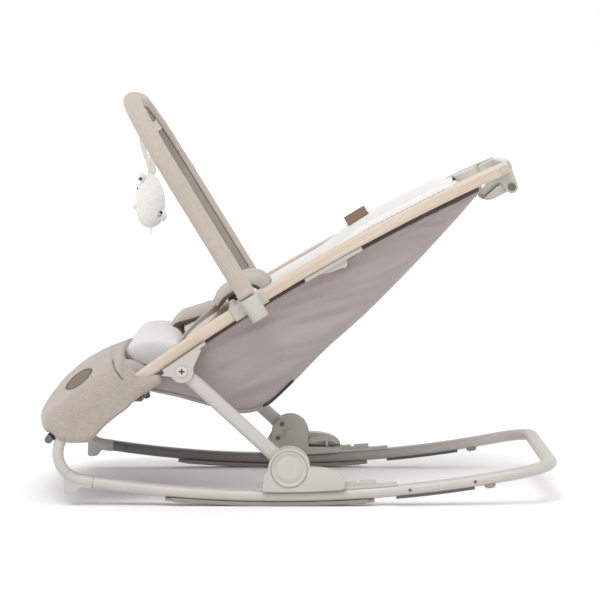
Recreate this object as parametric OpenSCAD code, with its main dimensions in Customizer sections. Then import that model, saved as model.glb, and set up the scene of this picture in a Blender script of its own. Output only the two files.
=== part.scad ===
// Folding bouncer seat on a rocker base: bent tube base with two sliding carriages, two prop legs,
// bentwood seat rails with a fabric sling and pad, a padded toy bar and a hanging plush toy.
// Millimetres. +X runs to the head end, -Y is the sitter's left side, +Z is up.

/* [Rocker base] */
// Distance between the centrelines of the two rocker tubes
base_w = 400; // [380:2:420]
// Radius of the rocking curve at the tube's centreline
rock_r = 1768; // [1600:4:2000]
// Width of the flattened rocker tube
tube_w = 20; // [18:0.5:22]
// Height of the flattened rocker tube
tube_h = 16.5; // [15:0.5:18]
// Thickness of the rocking pads under the tube
pad_t = 6; // [4:0.5:8]
// Bend radius of the rear corners in plan
corner_r = 50; // [40:1:60]

/* [Seat frame] */
// Radius of the bentwood rails
rail_r = 2955; // [2700:5:3200]
// Height of a rail across its curve
rail_h = 16.5; // [15:0.5:20]
// Thickness of a rail
rail_t = 16; // [12:0.5:18]
// Angle by which each rail toes in towards the head
toe = 5; // [4:0.1:6]
// Diameter of the front pivot tube
pivot_d = 16; // [14:0.5:17]

/* [Prop legs] */
// Width of the oval leg tube seen from the side
leg_w = 20; // [18:0.5:21]
// Thickness of the oval leg tube
leg_t = 16; // [12:0.5:16]
// Radius of the round housing at the foot of a leg
disc_r = 29; // [27:0.5:30]

/* [Toy bar] */
// Diameter of the bare bar
bar_d = 16; // [14:0.5:18]
// Diameter of the padded sleeve on the bar
sleeve_d = 26; // [24:0.5:28]
// Bend radius of the bar's two upper corners
bar_bend = 130; // [110:5:150]

/* [Soft goods] */
// Thickness of the sling cloth
cloth_t = 3; // [2:0.5:4]
// Thickness of the seat pad
cushion_t = 20; // [14:1:24]

/* [View] */
// Sub-part to draw

/* [Hidden] */

plastic = [0.74, 0.71, 0.66];
metal = [0.76, 0.73, 0.69];
dark = [0.16, 0.15, 0.14];
cloth = [0.70, 0.64, 0.59];
sling_c = [0.56, 0.50, 0.47];
pad_c = [0.84, 0.83, 0.80];
wood_c = [0.83, 0.68, 0.52];
steel_c = [0.6, 0.6, 0.6];

// Side of the rocker tube and the centre of the rocking curve, with a short flat under the pads.
side_y = base_w / 2;
flat = 0.25;
rock_x = -20.5;
rock_z = pad_t - flat + tube_h / 2 + rock_r;
tube_r = tube_h / 2;
tube_wall = 1.5;
front_x = -281;
corner_x = 310.8;

// The hoop circle runs on tangent from the rocker curve.
join_x = -298;
join_a = asin((join_x - rock_x) / rock_r);
hoop_r = 38.4;
hoop_x = rock_x + (rock_r - hoop_r) * sin(join_a);
hoop_z = rock_z - (rock_r - hoop_r) * cos(join_a);
hoop_a = 228;

// The three pivots of the folding linkage.
piv_f = [-300, 0, 111.6];
piv_b = [-156.8, 0, 189];
piv_h = [-8, 0, 52.9];
leg_len = norm(piv_h - piv_b);
leg_a = atan2(piv_b[2] - piv_h[2], piv_h[0] - piv_b[0]);

// The rails' curve.
rail_cx = 1490;
rail_cz = -2233.9;
rail_y = 196;
rail_x0 = -228;
rail_x1 = 300.5;

// The toy bar's plane and its feet.
bar_lean = 31.5;
bar_foot = [-66, 0, 293];
bar_y = 206;
bar_len = 317;
bar_in = 30;

// The eyelet that the toy hangs from.
toy_pin = [-219.5, 0, 544];

// The latch at the head end.
latch = [304.8, 0, 442.6];
head_slope = 24;

// Angle round the rocking curve, and round the rails' curve, of a point with a given X.
function rock_a(x) = -90 + asin((x - rock_x) / rock_r);
function rail_a(x) = acos((x - rail_cx) / rail_r);
function rail_at(x) = rail_cz + sqrt(rail_r * rail_r - (x - rail_cx) * (x - rail_cx));
function rail_side(x) = rail_y - (x + 220) * tan(toe);
function tube_at(x) = rock_z - sqrt(rock_r * rock_r - (x - rock_x) * (x - rock_x));
function arc_pts(cx, cz, r, a0, a1, n) = [for (i = [0 : n]) let (a = a0 + (a1 - a0) * i / n)
  [cx + r * cos(a), cz + r * sin(a)]];

// Sweeps a section round a centre in the XZ plane: the section's X is the radius and its Y runs to -Y.
module arc_xz(cx, cz, r, a0, a1, fn = 256)
  translate([cx, 0, cz])
    rotate([90, 0, 0])
      rotate([0, 0, a0])
        rotate_extrude(angle = a1 - a0, $fn = fn)
          translate([r, 0]) children();

// Draws an XZ outline with a thickness along Y, from y0 to y1.
module slab(y0, y1)
  translate([0, y1, 0]) rotate([90, 0, 0]) linear_extrude(height = y1 - y0) children();

// A flattened tube section: h along X and w along Y.
module oval(h, w) {
  square([h, w - h], center = true);
  translate([0, (w - h) / 2]) circle(d = h, $fn = 48);
  translate([0, (h - w) / 2]) circle(d = h, $fn = 48);
}

// The same section turned, for straight runs: w along X and h along Y.
module oval_t(h, w) rotate(90) oval(h, w);

// A rectangle with round corners, centred.
module soft_rect(a, b, r) {
  square([a - 2 * r, b], center = true);
  square([a, b - 2 * r], center = true);
  for (i = [-1, 1], j = [-1, 1]) translate([i * (a / 2 - r), j * (b / 2 - r)]) circle(r = r, $fn = 32);
}

// A round bar along Y through an XZ point.
module y_rod(p, y0, y1, r, fn = 48)
  translate([p[0], y1, p[2]]) rotate([90, 0, 0]) cylinder(r = r, h = y1 - y0, $fn = fn);

// A cross-headed screw head with its shank, driven along +Y from y.
module screw(x, y, z, r = 3.4, len = 7) difference() {
  union() {
    y_rod([x, 0, z], y - 1.6, y, r, 32);
    y_rod([x, 0, z], y, y + len, r * 0.45, 24);
  }
  translate([x, y - 1.3, z]) cube([r * 1.2, 1.2, r * 0.3], center = true);
  translate([x, y - 1.3, z]) cube([r * 0.3, 1.2, r * 1.2], center = true);
}

module on_right() mirror([0, 1, 0]) children();
module both() {
  children();
  mirror([0, 1, 0]) children();
}

// ---- Rocker base ----

// U-shaped rocker tube: two curved sides with open front ends and the bent rear bow.
module rocker_sides(g, x0, x1) both()
  translate([0, -side_y, 0]) arc_xz(rock_x, rock_z, rock_r, rock_a(x0), rock_a(x1)) oval(tube_h - g, tube_w - g);

module rocker_tube() color(metal) {
  difference() {
    rocker_sides(0, front_x, corner_x);
    rocker_sides(2 * tube_wall, front_x - 2, corner_x - 8);
    both() y_rod([-262, 0, tube_at(-262)], -side_y, -side_y + 20, 1.8, 24);
  }
  translate([corner_x, 0, tube_at(corner_x)]) rotate([0, -(90 + rock_a(corner_x)), 0]) {
    both() translate([0, -(side_y - corner_r), 0]) rotate([0, 0, -90])
      rotate_extrude(angle = 90, $fn = 96) translate([corner_r, 0]) rotate(90) oval(tube_h, tube_w);
    translate([corner_r, side_y - corner_r + 0.4, 0]) rotate([90, 0, 0])
      linear_extrude(height = 2 * (side_y - corner_r) + 0.8) rotate(90) oval(tube_h + 0.2, tube_w + 0.2);
    // Weld seams where the sides meet the rear bow.
    both() translate([0, -side_y, 0]) linear_extrude_x(-0.8, 0.8) oval_t(tube_h + 0.2, tube_w + 0.2);
  }
}

// Front tube: two hooks at the sides and the straight pivot tube between them.
module hoop_route(r, over) {
  both()
    translate([0, -side_y, 0])
      arc_xz(hoop_x, hoop_z, hoop_r, 101.9, hoop_a + over, 128) circle(r = r, $fn = 48);
  y_rod(piv_f, -side_y, side_y, r, 64);
  both() translate([piv_f[0], -side_y, piv_f[2]]) sphere(r = r, $fn = 64);
}

module front_hoop() color(metal) difference() {
  hoop_route(pivot_d / 2, 0);
  hoop_route(pivot_d / 2 - tube_wall, 2);
}

// Elbow: joins the hoop to the rocker tube and carries the front stop foot.
module elbow_left() color(plastic) {
  translate([0, -side_y, 0]) {
    arc_xz(hoop_x, hoop_z, hoop_r, hoop_a + 0.3, 270 + join_a + 1, 128) oval(tube_h, tube_w);
    translate([join_x, 0, tube_at(join_x)]) rotate([0, -join_a - 0.28, 0])
      linear_extrude_x(-1.5, 16.9) oval_t(tube_h + 0.3, tube_w + 0.3);
    arc_xz(hoop_x, hoop_z, hoop_r, hoop_a - 16, hoop_a + 2, 128)
      circle(r = pivot_d / 2 - tube_wall - 0.15, $fn = 48);
    arc_xz(rock_x, rock_z, rock_r, rock_a(front_x - 3), rock_a(front_x + 16))
      oval(tube_h - 2 * tube_wall - 0.3, tube_w - 2 * tube_wall - 0.3);
    slab(-8, 8) polygon([[-320, 44], [-321, 20], [-318.5, 17.5], [-309, 17.5], [-305, 19.5], [-299, 27],
      [-284, 25], [-282.5, 28], [-300, 36]]);
  }
}
module elbow_right() on_right() elbow_left();

// Rocking pad: follows the tube's underside, with a short flat at its lowest point.
module rock_pad_left() color(plastic) difference() {
  translate([0, -side_y, 0]) {
    arc_xz(rock_x, rock_z, rock_r + tube_r + pad_t / 2 - 0.4, rock_a(-172), rock_a(102)) square([pad_t - 0.8, 15], center = true);
    arc_xz(rock_x, rock_z, rock_r + tube_r + pad_t / 2 + 0.1, rock_a(-180), rock_a(110)) square([pad_t - 2.2, 12], center = true);
    arc_xz(rock_x, rock_z, rock_r + tube_r + pad_t / 2, rock_a(-168), rock_a(98)) square([pad_t, 13], center = true);
  }
  translate([rock_x - 120, -side_y - 20, -5]) cube([240, 40, 5]);
  translate([0, -side_y, 0]) arc_xz(rock_x, rock_z, rock_r, rock_a(-190), rock_a(120)) oval(tube_h + 0.1, tube_w + 0.1);
}
module rock_pad_right() on_right() rock_pad_left();

// Thin wear strips behind the pads.
module rear_strips() color(plastic) both() difference() {
  translate([0, -side_y, 0])
    arc_xz(rock_x, rock_z, rock_r + tube_r + 0.9, rock_a(140.5), rock_a(249)) square([4, 13], center = true);
  translate([0, -side_y, 0]) arc_xz(rock_x, rock_z, rock_r, rock_a(130), rock_a(260)) oval(tube_h + 0.1, tube_w + 0.1);
}

// Small stop feet near the rear corners.
module stop_feet() color(plastic) both()
  translate([270.5, -side_y, tube_at(270.5)]) rotate([0, -(90 + rock_a(270.5)), 0]) difference() {
    slab(-6.5, 6.5) polygon([[-8, -4], [-8, -10], [-4.5, -12.8], [5, -12.8], [7.5, -10], [7.5, -4]]);
    linear_extrude_x(-10, 10) oval_t(tube_h + 0.2, tube_w + 0.2);
  }

// Slide track on top of the tube: a long base plate and a shorter upper rail with lock notches.
module track_left() color(plastic) translate([0, -side_y, 0]) difference() {
  union() {
    arc_xz(rock_x, rock_z, rock_r - tube_r - 1.2, rock_a(-54), rock_a(143.5)) square([4.4, 14], center = true);
    arc_xz(rock_x, rock_z, rock_r - tube_r - 6, rock_a(-50), rock_a(114)) square([6.4, 10], center = true);
  }
  arc_xz(rock_x, rock_z, rock_r, rock_a(-70), rock_a(160)) oval(tube_h + 0.1, tube_w + 0.1);
  for (x = [56, 88]) translate([x, 0, tube_at(x) + tube_r + 8]) cube([5, 30, 4], center = true);
}
module track_right() on_right() track_left();

module base_screws() color(steel_c) {
  both() mirror([0, 1, 0]) screw(-262, side_y - tube_w / 2, tube_at(-262), 3.2, 8);
  both() screw(250.7, -side_y - tube_w / 2, tube_at(250.7), 2.2, 6);
  both() screw(160, -side_y - tube_w / 2, tube_at(160), 2.2, 6);
}

// ---- Carriages at the feet of the legs ----

track_top = 10;
rel = [25.5, 0, 43];
module housing_outline() {
  translate([piv_h[0], piv_h[2]]) circle(r = disc_r, $fn = 96);
  polygon([[-46, 24], [-43.5, 21.5], [-20, 21], [20, 21.6], [64, 24], [69, 27.5], [70, 33],
    [68, 40], [62, 46], [52, 50.5], [38, 53.3], [22, 54.2], [-30, 60], [-38, 52], [-42.5, 45]]);
}

module housing_left() color(plastic) {
  housing_body();
  y_rod(rel, -side_y + 7.5, -side_y + 16.6, 1.8, 24);
}
module housing_body() difference() {
  slab(-side_y - 17, -side_y + 17) housing_outline();
  translate([0, -side_y, 0])
    arc_xz(rock_x, rock_z, rock_r + 40 - tube_r - track_top - 2.4, rock_a(-70), rock_a(90))
      square([80, tube_w + 3.2], center = true);
  slab(-side_y - 8.6, -side_y + 8.6) {
    translate([piv_h[0], piv_h[2]]) circle(r = 16.4, $fn = 64);
    polygon([[-8, 36.5], [-60, 36.5], [-60, 100], [24, 100], [8.4, 52.9]]);
  }
  slab(-side_y + 8, -side_y + 18) polygon([[20, 33.5], [72, 31.5], [72, 60], [20, 60]]);
  y_rod(piv_h, -side_y - 16, -side_y + 20, 5.05);
  slab(-side_y - 18, -side_y - 15) translate([piv_h[0], piv_h[2]]) circle(r = 25.3, $fn = 96);
}
module housing_right() on_right() housing_left();

// Inner cover plate with its moulded hub and two screw holes.
module side_plate_left() color(plastic) difference() {
  union() {
    slab(-side_y + 17.2, -side_y + 20) {
      translate([piv_h[0], piv_h[2]]) circle(r = disc_r - 1, $fn = 96);
      polygon([[-38, 48], [-36, 30], [14, 30], [16, 52]]);
    }
    y_rod(piv_h, -side_y + 20, -side_y + 23, 9);
  }
  y_rod([-20.7, 0, 68.8], -side_y + 16, -side_y + 22, 2);
  y_rod([-26.9, 0, 47.1], -side_y + 16, -side_y + 22, 2);
  y_rod(piv_h, -side_y + 16, -side_y + 21, 5.05);
}
module side_plate_right() on_right() side_plate_left();

module plate_screws_left() color(steel_c) mirror([0, 1, 0]) {
  screw(-20.7, side_y - 20, 68.8, 3.4, 2.4);
  screw(-26.9, side_y - 20, 47.1, 3.4, 2.4);
}
module plate_screws_right() on_right() plate_screws_left();

// Plain round cover disc.
module cap_left() color(plastic) {
  y_rod(piv_h, -side_y - 18.2, -side_y - 15.1, 25, 96);
  y_rod(piv_h, -side_y - 19, -side_y - 18.2, 15, 96);
}
module cap_right() on_right() cap_left();

module shaft_left() color(steel_c) y_rod(piv_h, -side_y - 14.8, -side_y + 20.6, 5);
module shaft_right() on_right() shaft_left();

// Release lever in the carriage's tail, on the inner side, on a pin moulded in the housing.
module release_left() color(plastic) difference() {
  union() {
    y_rod(rel, -side_y + 8.7, -side_y + 16.4, 5);
    slab(-side_y + 8.9, -side_y + 16.2) polygon([[25.5, 43], [27, 47.5], [38, 50.8], [52, 48.2], [60, 44.5],
      [65.5, 38.5], [62, 38.5], [56, 41.5], [44, 42.5], [27, 38.5]]);
  }
  y_rod(rel, -side_y + 8, -side_y + 17, 1.85, 24);
  translate([48, -side_y + 12.5, 34]) cylinder(r = 2.9, h = 11, $fn = 24);
}
module release_right() on_right() release_left();

// Coil spring under the release lever.
module release_spring_left() color(steel_c) translate([48, -side_y + 12.5, 33]) difference() {
  cylinder(r = 2.4, h = 11.6, $fn = 24);
  translate([0, 0, -1]) cylinder(r = 1.6, h = 14, $fn = 24);
}
module release_spring_right() on_right() release_spring_left();

// ---- Prop legs ----

module leg_frame() translate([piv_b[0], -side_y, piv_b[2]]) rotate([0, leg_a, 0]) children();

module leg_section(g) linear_extrude_x(15, leg_len - 32) oval(leg_t - g, leg_w - g);
module linear_extrude_x(x0, x1)
  translate([x0, 0, 0]) rotate([0, 90, 0]) rotate([0, 0, 90]) linear_extrude(height = x1 - x0) children();

module leg_tube_left() color(metal) leg_frame() difference() {
  linear_extrude_x(15, leg_len - 33) oval(leg_t, leg_w);
  linear_extrude_x(14, leg_len - 32) oval(leg_t - 2 * tube_wall, leg_w - 2 * tube_wall);
}
module leg_tube_right() on_right() leg_tube_left();

// Lower end fitting: collar, spigot and the eye that turns on the housing shaft.
module leg_foot_left() color(plastic) leg_frame() difference() {
  union() {
    linear_extrude_x(leg_len - 33, leg_len - 14) oval(leg_t, leg_w + 1);
    linear_extrude_x(leg_len - 50, leg_len - 32.8) oval(leg_t - 2 * tube_wall - 0.4, leg_w - 2 * tube_wall - 0.4);
    translate([leg_len, 8, 0]) rotate([90, 0, 0]) cylinder(r = 15, h = 16, $fn = 64);
  }
  translate([leg_len, 9, 0]) rotate([90, 0, 0]) cylinder(r = 5.05, h = 18, $fn = 48);
}
module leg_foot_right() on_right() leg_foot_left();

// Upper end fitting with the eye that turns on the bracket's bolt.
module leg_head_left() color(plastic) leg_frame() difference() {
  union() {
    translate([0, 8, 0]) rotate([90, 0, 0]) cylinder(r = 9.5, h = 16, $fn = 64);
    linear_extrude_x(4, 14.8) oval(leg_t, leg_w);
    linear_extrude_x(14.5, 34) oval(leg_t - 2 * tube_wall - 0.4, leg_w - 2 * tube_wall - 0.4);
  }
  translate([0, 9, 0]) rotate([90, 0, 0]) cylinder(r = 4.05, h = 18, $fn = 48);
}
module leg_head_right() on_right() leg_head_left();

// ---- Seat frame ----

// Turns a shape in a plane through the rail's front end by the toe-in angle.
module toed() translate([-220, -rail_y, 0]) rotate([0, 0, toe]) translate([220, 0, 0]) children();

module rail_left() color(wood_c) toed()
  arc_xz(rail_cx, rail_cz, rail_r, rail_a(rail_x1), rail_a(rail_x0)) soft_rect(rail_h, rail_t, 4);
module rail_right() on_right() rail_left();

// Pivot bracket under the rail: a strip, two cheeks and the bolt's bore.
module bracket_outline() {
  translate([piv_b[0], piv_b[2]]) circle(r = 16, $fn = 64);
  polygon([[-185, 183], [-178, 190.5], [-134, 221.5], [-130, 218], [-141.5, 193], [-157, 173], [-171, 181.5]]);
}
module strip_frame() translate([-160, 0, rail_at(-160)]) rotate([0, -33.9, 0]) children();
module bracket_left() color(plastic) difference() {
  union() {
    slab(-side_y - 12, -side_y - 8.6) bracket_outline();
    slab(-side_y + 8.6, -side_y + 12) bracket_outline();
    difference() {
      strip_frame() translate([-35, -side_y - 12, -rail_h / 2 - 4.8]) cube([70, 26, 6]);
      toed() strip_frame() translate([-60, -30, -rail_h / 2 - 0.5]) cube([120, 60, rail_h + 1]);
    }
  }
  y_rod(piv_b, -side_y - 13, -side_y + 13, 4.05);
}
module bracket_right() on_right() bracket_left();

module pivot_bolts() color(steel_c) both() difference() {
  union() {
    y_rod(piv_b, -side_y - 13, -side_y + 13, 4, 48);
    y_rod(piv_b, -side_y - 14, -side_y - 12.1, 7.5, 48);
    y_rod(piv_b, -side_y + 12.1, -side_y + 15, 6.5, 6);
  }
  translate([piv_b[0], -side_y - 13.8, piv_b[2]]) cube([7, 1.4, 1.6], center = true);
  translate([piv_b[0], -side_y - 13.8, piv_b[2]]) cube([1.6, 1.4, 7], center = true);
}

// Head bar: a U-shaped moulding between the rails' head ends.
module head_frame() translate([299, 0, 471]) rotate([0, -head_slope, 0]) children();
bow_y = 143 - 6;
module head_bar() color(plastic) head_frame() {
  both() translate([0, -bow_y, 0]) {
    linear_extrude_x(-62, -30) soft_rect(9, 15, 3);
  }
  both() translate([-30, -(bow_y - 34), 0]) rotate([0, 0, -90])
    rotate_extrude(angle = 90, $fn = 96) translate([34, 0]) soft_rect(9, 15, 3);
  translate([4, bow_y - 34, 0]) rotate([90, 0, 0]) linear_extrude(height = 2 * (bow_y - 34)) soft_rect(9, 15, 3);
}

// End bracket on the inner side of each rail's head end, down to the latch's pin.
module head_bracket_left() color(plastic) difference() {
  union() {
    slab(-141, -131.5) polygon([[276, 452], [272, 468], [298, 480], [303, 473.5], [314, 444], [311.5, 437],
      [306, 434], [298, 437], [289, 449]]);
    slab(-141, -133) translate([latch[0], latch[2]]) circle(r = 9, $fn = 64);
  }
  y_rod(latch, -145, -125, 3.05, 32);
  head_frame() translate([0, -bow_y, 0]) linear_extrude_x(-70, 0) soft_rect(9.6, 15.6, 3);
  head_frame() translate([-30, -(bow_y - 34), 0]) rotate([0, 0, -90])
    rotate_extrude(angle = 90, $fn = 96) translate([34, 0]) square([9.6, 15.6], center = true);
}
module head_bracket_right() on_right() head_bracket_left();

// Round screw caps on the rails' head ends.
module rail_caps() color(plastic) both() toed() y_rod([293, 0, rail_at(293)], -rail_t / 2 - 1.4, -rail_t / 2 - 0.1, 4.6, 48);

// Spring latch across the head end; it snaps under the rear tube when the seat is folded.
module latch_bar() color(plastic) difference() {
  union() {
    slab(-130.5, 130.5) polygon([[299, 437.5], [304, 434.6], [308.5, 437], [310.5, 444], [306, 449],
      [299.5, 447]]);
    slab(-60, 60) polygon([[301, 436], [296, 443.5], [289, 440.5], [272.5, 425.5], [276, 421], [284, 422.5],
      [300, 430.5], [306, 435]]);
  }
  y_rod(latch, -135, 135, 3.05, 32);
}
module latch_grip() color(dark) slab(-58, 58)
  polygon([[269.6, 426.8], [271.8, 421.5], [272, 426.3], [287.8, 441.2], [295, 444.4], [292.5, 448], [284, 443.4]]);
module latch_pins() color(dark) both() {
  y_rod(latch, -142, -115, 3, 32);
  y_rod(latch, -143.2, -141.1, 5.4, 48);
}

// Front frame: the bushes that turn on the pivot tube, rail sockets and a cross rib.
module front_frame() color(plastic) difference() {
  union() {
    both() {
      y_rod(piv_f, -186, -150, 12.5, 64);
      slab(-183, -176) polygon([[-311, 112], [-300, 124], [-262, 188], [-243, 205], [-230, 200], [-206, 178],
        [-214, 164], [-262, 128], [-289, 106]]);
      slab(-204.4, -176) polygon([[-246, 191], [-239, 196], [-212, 178], [-219, 158], [-229, 152], [-252, 174]]);
    }
    slab(-183, 183) polygon([[-262, 190], [-250, 199], [-246, 193], [-258, 184]]);
    slab(-150, 150) translate([-222, 146]) soft_rect(18, 8, 3);
    both() slab(-183, -140) polygon([[-262, 128], [-240, 144], [-214, 144], [-214, 150], [-244, 150], [-268, 136]]);
    slab(-14, 14) polygon([[-230, 146], [-226, 134], [-219, 129], [-213, 131], [-216, 146]]);
    both() slab(-182, -176) polygon([[-300, 100], [-343, 88], [-345, 98], [-305, 120]]);
    slab(-204, 204) translate([-343, 93]) circle(r = 5.5, $fn = 48);
  }
  y_rod(piv_f, -200, 200, pivot_d / 2 + 0.05, 64);
  both() toed() arc_xz(rail_cx, rail_cz, rail_r, rail_a(-190), rail_a(-229)) square([rail_h + 0.5, rail_t + 0.5], center = true);
}

// Padded front cover over the pivot, open underneath.
cov_y = 212.6;
cov_x = -204.7;
cov_z = 33.4;
cov_r = 184;
module front_cover() color(cloth) difference() {
  intersection() {
    slab(-cov_y, cov_y) polygon(concat(arc_pts(cov_x, cov_z, cov_r, 102.5, 154.7, 24),
      [[-366, 103], [-347, 97], [-330, 91], [-312, 87.5], [-289, 88], [-278, 96], [-265, 112], [-223, 148],
      [-183, 174.5], [-189, 184], [-226, 176], [-238, 190]]));
    translate([0, 0, 60]) linear_extrude(height = 180) {
      translate([-371 + 40, 0]) square([200, 2 * cov_y], center = false);
      translate([-371 + 40, -cov_y]) square([200, 2 * cov_y]);
      translate([-371, -cov_y + 40]) square([60, 2 * cov_y - 80]);
      for (j = [-1, 1]) translate([-371 + 40, j * (cov_y - 40)]) circle(r = 40, $fn = 96);
    }
  }
  slab(-cov_y + 4, cov_y - 4) intersection() {
    polygon(concat(arc_pts(cov_x, cov_z, cov_r - 4, 96, 154, 24),
      [[-358, 106], [-351, 101.6], [-351, 60], [-150, 60], [-150, 212]]));
    translate([-365, 50]) square([220, 200]);
  }
}

// Blank oval patches on the cover's sides.
module oval_patches() color(dark) both() slab(-cov_y - 1.2, -cov_y - 0.1)
  translate([-299.5, 173]) rotate(36) intersection() {
    translate([0, -29]) circle(r = 38, $fn = 96);
    translate([0, 29]) circle(r = 38, $fn = 96);
  }

// ---- Sling, pad and harness ----

// Side outline of the hanging sling; d moves its lower edge in.
module sling_outline(d) {
  polygon(concat([[-214, 158], [-190, 151 + d], [-160, 144 + d], [-128, 134 + d]],
    arc_pts(-76, 172, 47 - d, 250, 292, 6),
    [[-46, 136 + d], [-24, 151 + d], [7, 177 + d * 1.3], [40, 208 + d * 1.4], [108, 270 + d * 1.4],
    [175, 338 + d * 1.4], [242, 411 + d * 1.4], [262, 440]],
    [for (x = [256 : -24 : -210]) [x, rail_at(x) - 12]]));
}
module sling_plan(d)
  linear_extrude(height = 600) polygon([[-230, -rail_side(-230) + 12 + d], [300, -rail_side(300) + 12 + d],
    [300, rail_side(300) - 12 - d], [-230, rail_side(-230) - 12 - d]]);
module sling() color(sling_c) difference() {
  intersection() {
    slab(-190, 190) sling_outline(0);
    sling_plan(0);
  }
  intersection() {
    slab(-190, 190) {
      sling_outline(cloth_t);
      polygon([[-205, 190], [-150, 150], [200, 372], [250, 500], [-205, 300]]);
    }
    sling_plan(cloth_t);
  }
}

// Stiffening strips that hold the sling's edge under the rails.
module side_clips() color(plastic) both() toed() {
  arc_xz(rail_cx, rail_cz, rail_r - rail_h / 2 - 3.4, rail_a(89), rail_a(9)) square([5.6, 9], center = true);
  slab(-1.5, 1.5) polygon(concat([[74, rail_at(74) - 15]], [[30, rail_at(30) - 15]], [[52, rail_at(52) - 23]],
    arc_pts(69.5, rail_at(69.5) - 22.5, 4.5, 250, 360, 8)));
}

// Seat pad: a cushion that runs from the foot end, down under the seat and up the back.
module pad_outline(t)
  polygon(concat(arc_pts(-207.6, 210, 34.8, 10, 200, 16), [[-231, 191.5], [-214, 183], [-196, 184]],
    arc_pts(-70, 222, 48 + t - 20, 240, 305, 8),
    [[40, 250 - t], [150, 342 - t], [240, 440 - t], [250, 452], [238, 456], [140, 369], [30, 278]],
    arc_pts(-70, 246, 40, 300, 235, 8), [[-150, 206]]));
module seat_pad() color(pad_c) intersection() {
  slab(-160, 160) pad_outline(cushion_t);
  linear_extrude(height = 600) polygon([[-260, -120], [-240, -150], [-180, -160], [230, -128], [262, -90],
    [262, 90], [230, 128], [-180, 160], [-240, 150], [-260, 120]]);
}

// Two shoulder straps and two lap straps.
module strap(a, b, w, t) {
  d = b - a;
  l = norm(d);
  translate(a) rotate([0, -asin(d[2] / l), atan2(d[1], d[0])]) translate([0, -w / 2, -t / 2]) cube([l, w, t]);
}
module harness_straps() color(cloth) both() {
  slab(-74, -32) polygon([[-114, 270], [-102, 290], [-78, 308], [-58, 315], [-45, 311], [-38, 300], [-36, 289],
    [-49, 286], [-52, 296], [-60, 301], [-76, 294], [-94, 276], [-102, 262]]);
  slab(-66, -40) polygon([[-46, 286.5], [-18, 263], [8, 262.5], [28, 279.5], [118, 353.7], [118, 357.7],
    [27, 283.5], [6, 267], [-17, 267], [-42, 288.5]]);
  strap([-120, -150, 232], [-80, -28, 279], 26, 4);
}

// Padded crotch piece that stands up from the seat and bends back to the buckle.
module crotch_pad() color(cloth) slab(-30, 30)
  polygon([[-171.5, 216.2], [-176, 226], [-178.5, 235], [-175, 244], [-167, 251], [-153, 258], [-131, 268],
    [-104, 280], [-98, 268], [-131, 249], [-150, 240], [-158, 233], [-157, 222], [-153, 208.2]]);

module buckle_frame() translate([-82, 0, 281]) rotate([0, -22, 0]) children();
module buckle() color(dark) difference() {
  buckle_frame() linear_extrude(height = 12, center = true) soft_rect(34, 44, 8);
  buckle_frame() translate([0, 0, 4]) cylinder(r = 8.5, h = 10, $fn = 48);
}
module buckle_button() color(plastic) buckle_frame() translate([0, 0, 6.4]) cylinder(r = 8, h = 1.9, $fn = 48);

module tag() color([0.45, 0.33, 0.26]) translate([92.5, 150, 390.5]) rotate([0, -31, 0]) rotate([55, 0, 0])
  linear_extrude(height = 2) soft_rect(36, 16, 2);

// ---- Toy bar ----

module bar_frame() translate(bar_foot) rotate([0, -bar_lean, 0]) children();

// Clamp: wraps the rail and carries the socket for the bar's foot.
module clamp_frame() translate([-72, 0, rail_at(-72)]) rotate([0, -31.9, 0]) children();
module bar_clamp_left() color(plastic) difference() {
  union() {
    translate([0, -rail_side(-72), 0]) clamp_frame() rotate([0, 0, toe]) rotate([0, 90, 0])
      translate([0, 0, -18]) linear_extrude(height = 54) soft_rect(rail_h + 5, rail_t + 5, 4);
    bar_frame() translate([0, -bar_y, -bar_in - 6]) cylinder(r = sleeve_d / 2, h = bar_in + 4, $fn = 64);
    slab(-bar_y + 9, -rail_side(-72) - 9) translate([-66, 282]) rotate(31.9) soft_rect(24, 20, 3);
    translate([0, -rail_side(-72), 0]) clamp_frame() translate([-8, 0, 10]) cylinder(r = 7.4, h = 4.5, $fn = 48);
  }
  translate([0, -rail_side(-72), 0]) clamp_frame() translate([-8, 0, 8]) cylinder(r = 4.9, h = 8, $fn = 48);
  bar_frame() translate([0, -bar_y, -bar_in]) cylinder(r = bar_d / 2 + 0.35, h = 60, $fn = 48);
  bar_frame() translate([0, -bar_y, -0.8]) cylinder(r = sleeve_d / 2 + 0.6, h = 50, $fn = 64);
  translate([0, -rail_side(-72), 0]) clamp_frame() rotate([0, 0, toe]) rotate([0, 90, 0])
    linear_extrude(height = 90, center = true) soft_rect(rail_h + 1.1, rail_t + 1.1, 4);
}
module bar_clamp_right() on_right() bar_clamp_left();

module clamp_button_left() color(plastic)
  translate([0, -rail_side(-72), 0]) clamp_frame() translate([-8, 0, 12.7]) {
    cylinder(r = 4.5, h = 4, $fn = 48);
    translate([0, 0, 3.5]) intersection() {
      cylinder(r = 4.5, h = 4, $fn = 48);
      translate([0, 0, -3.4]) sphere(r = 6.2, $fn = 48);
    }
  }
module clamp_button_right() on_right() clamp_button_left();

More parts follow.
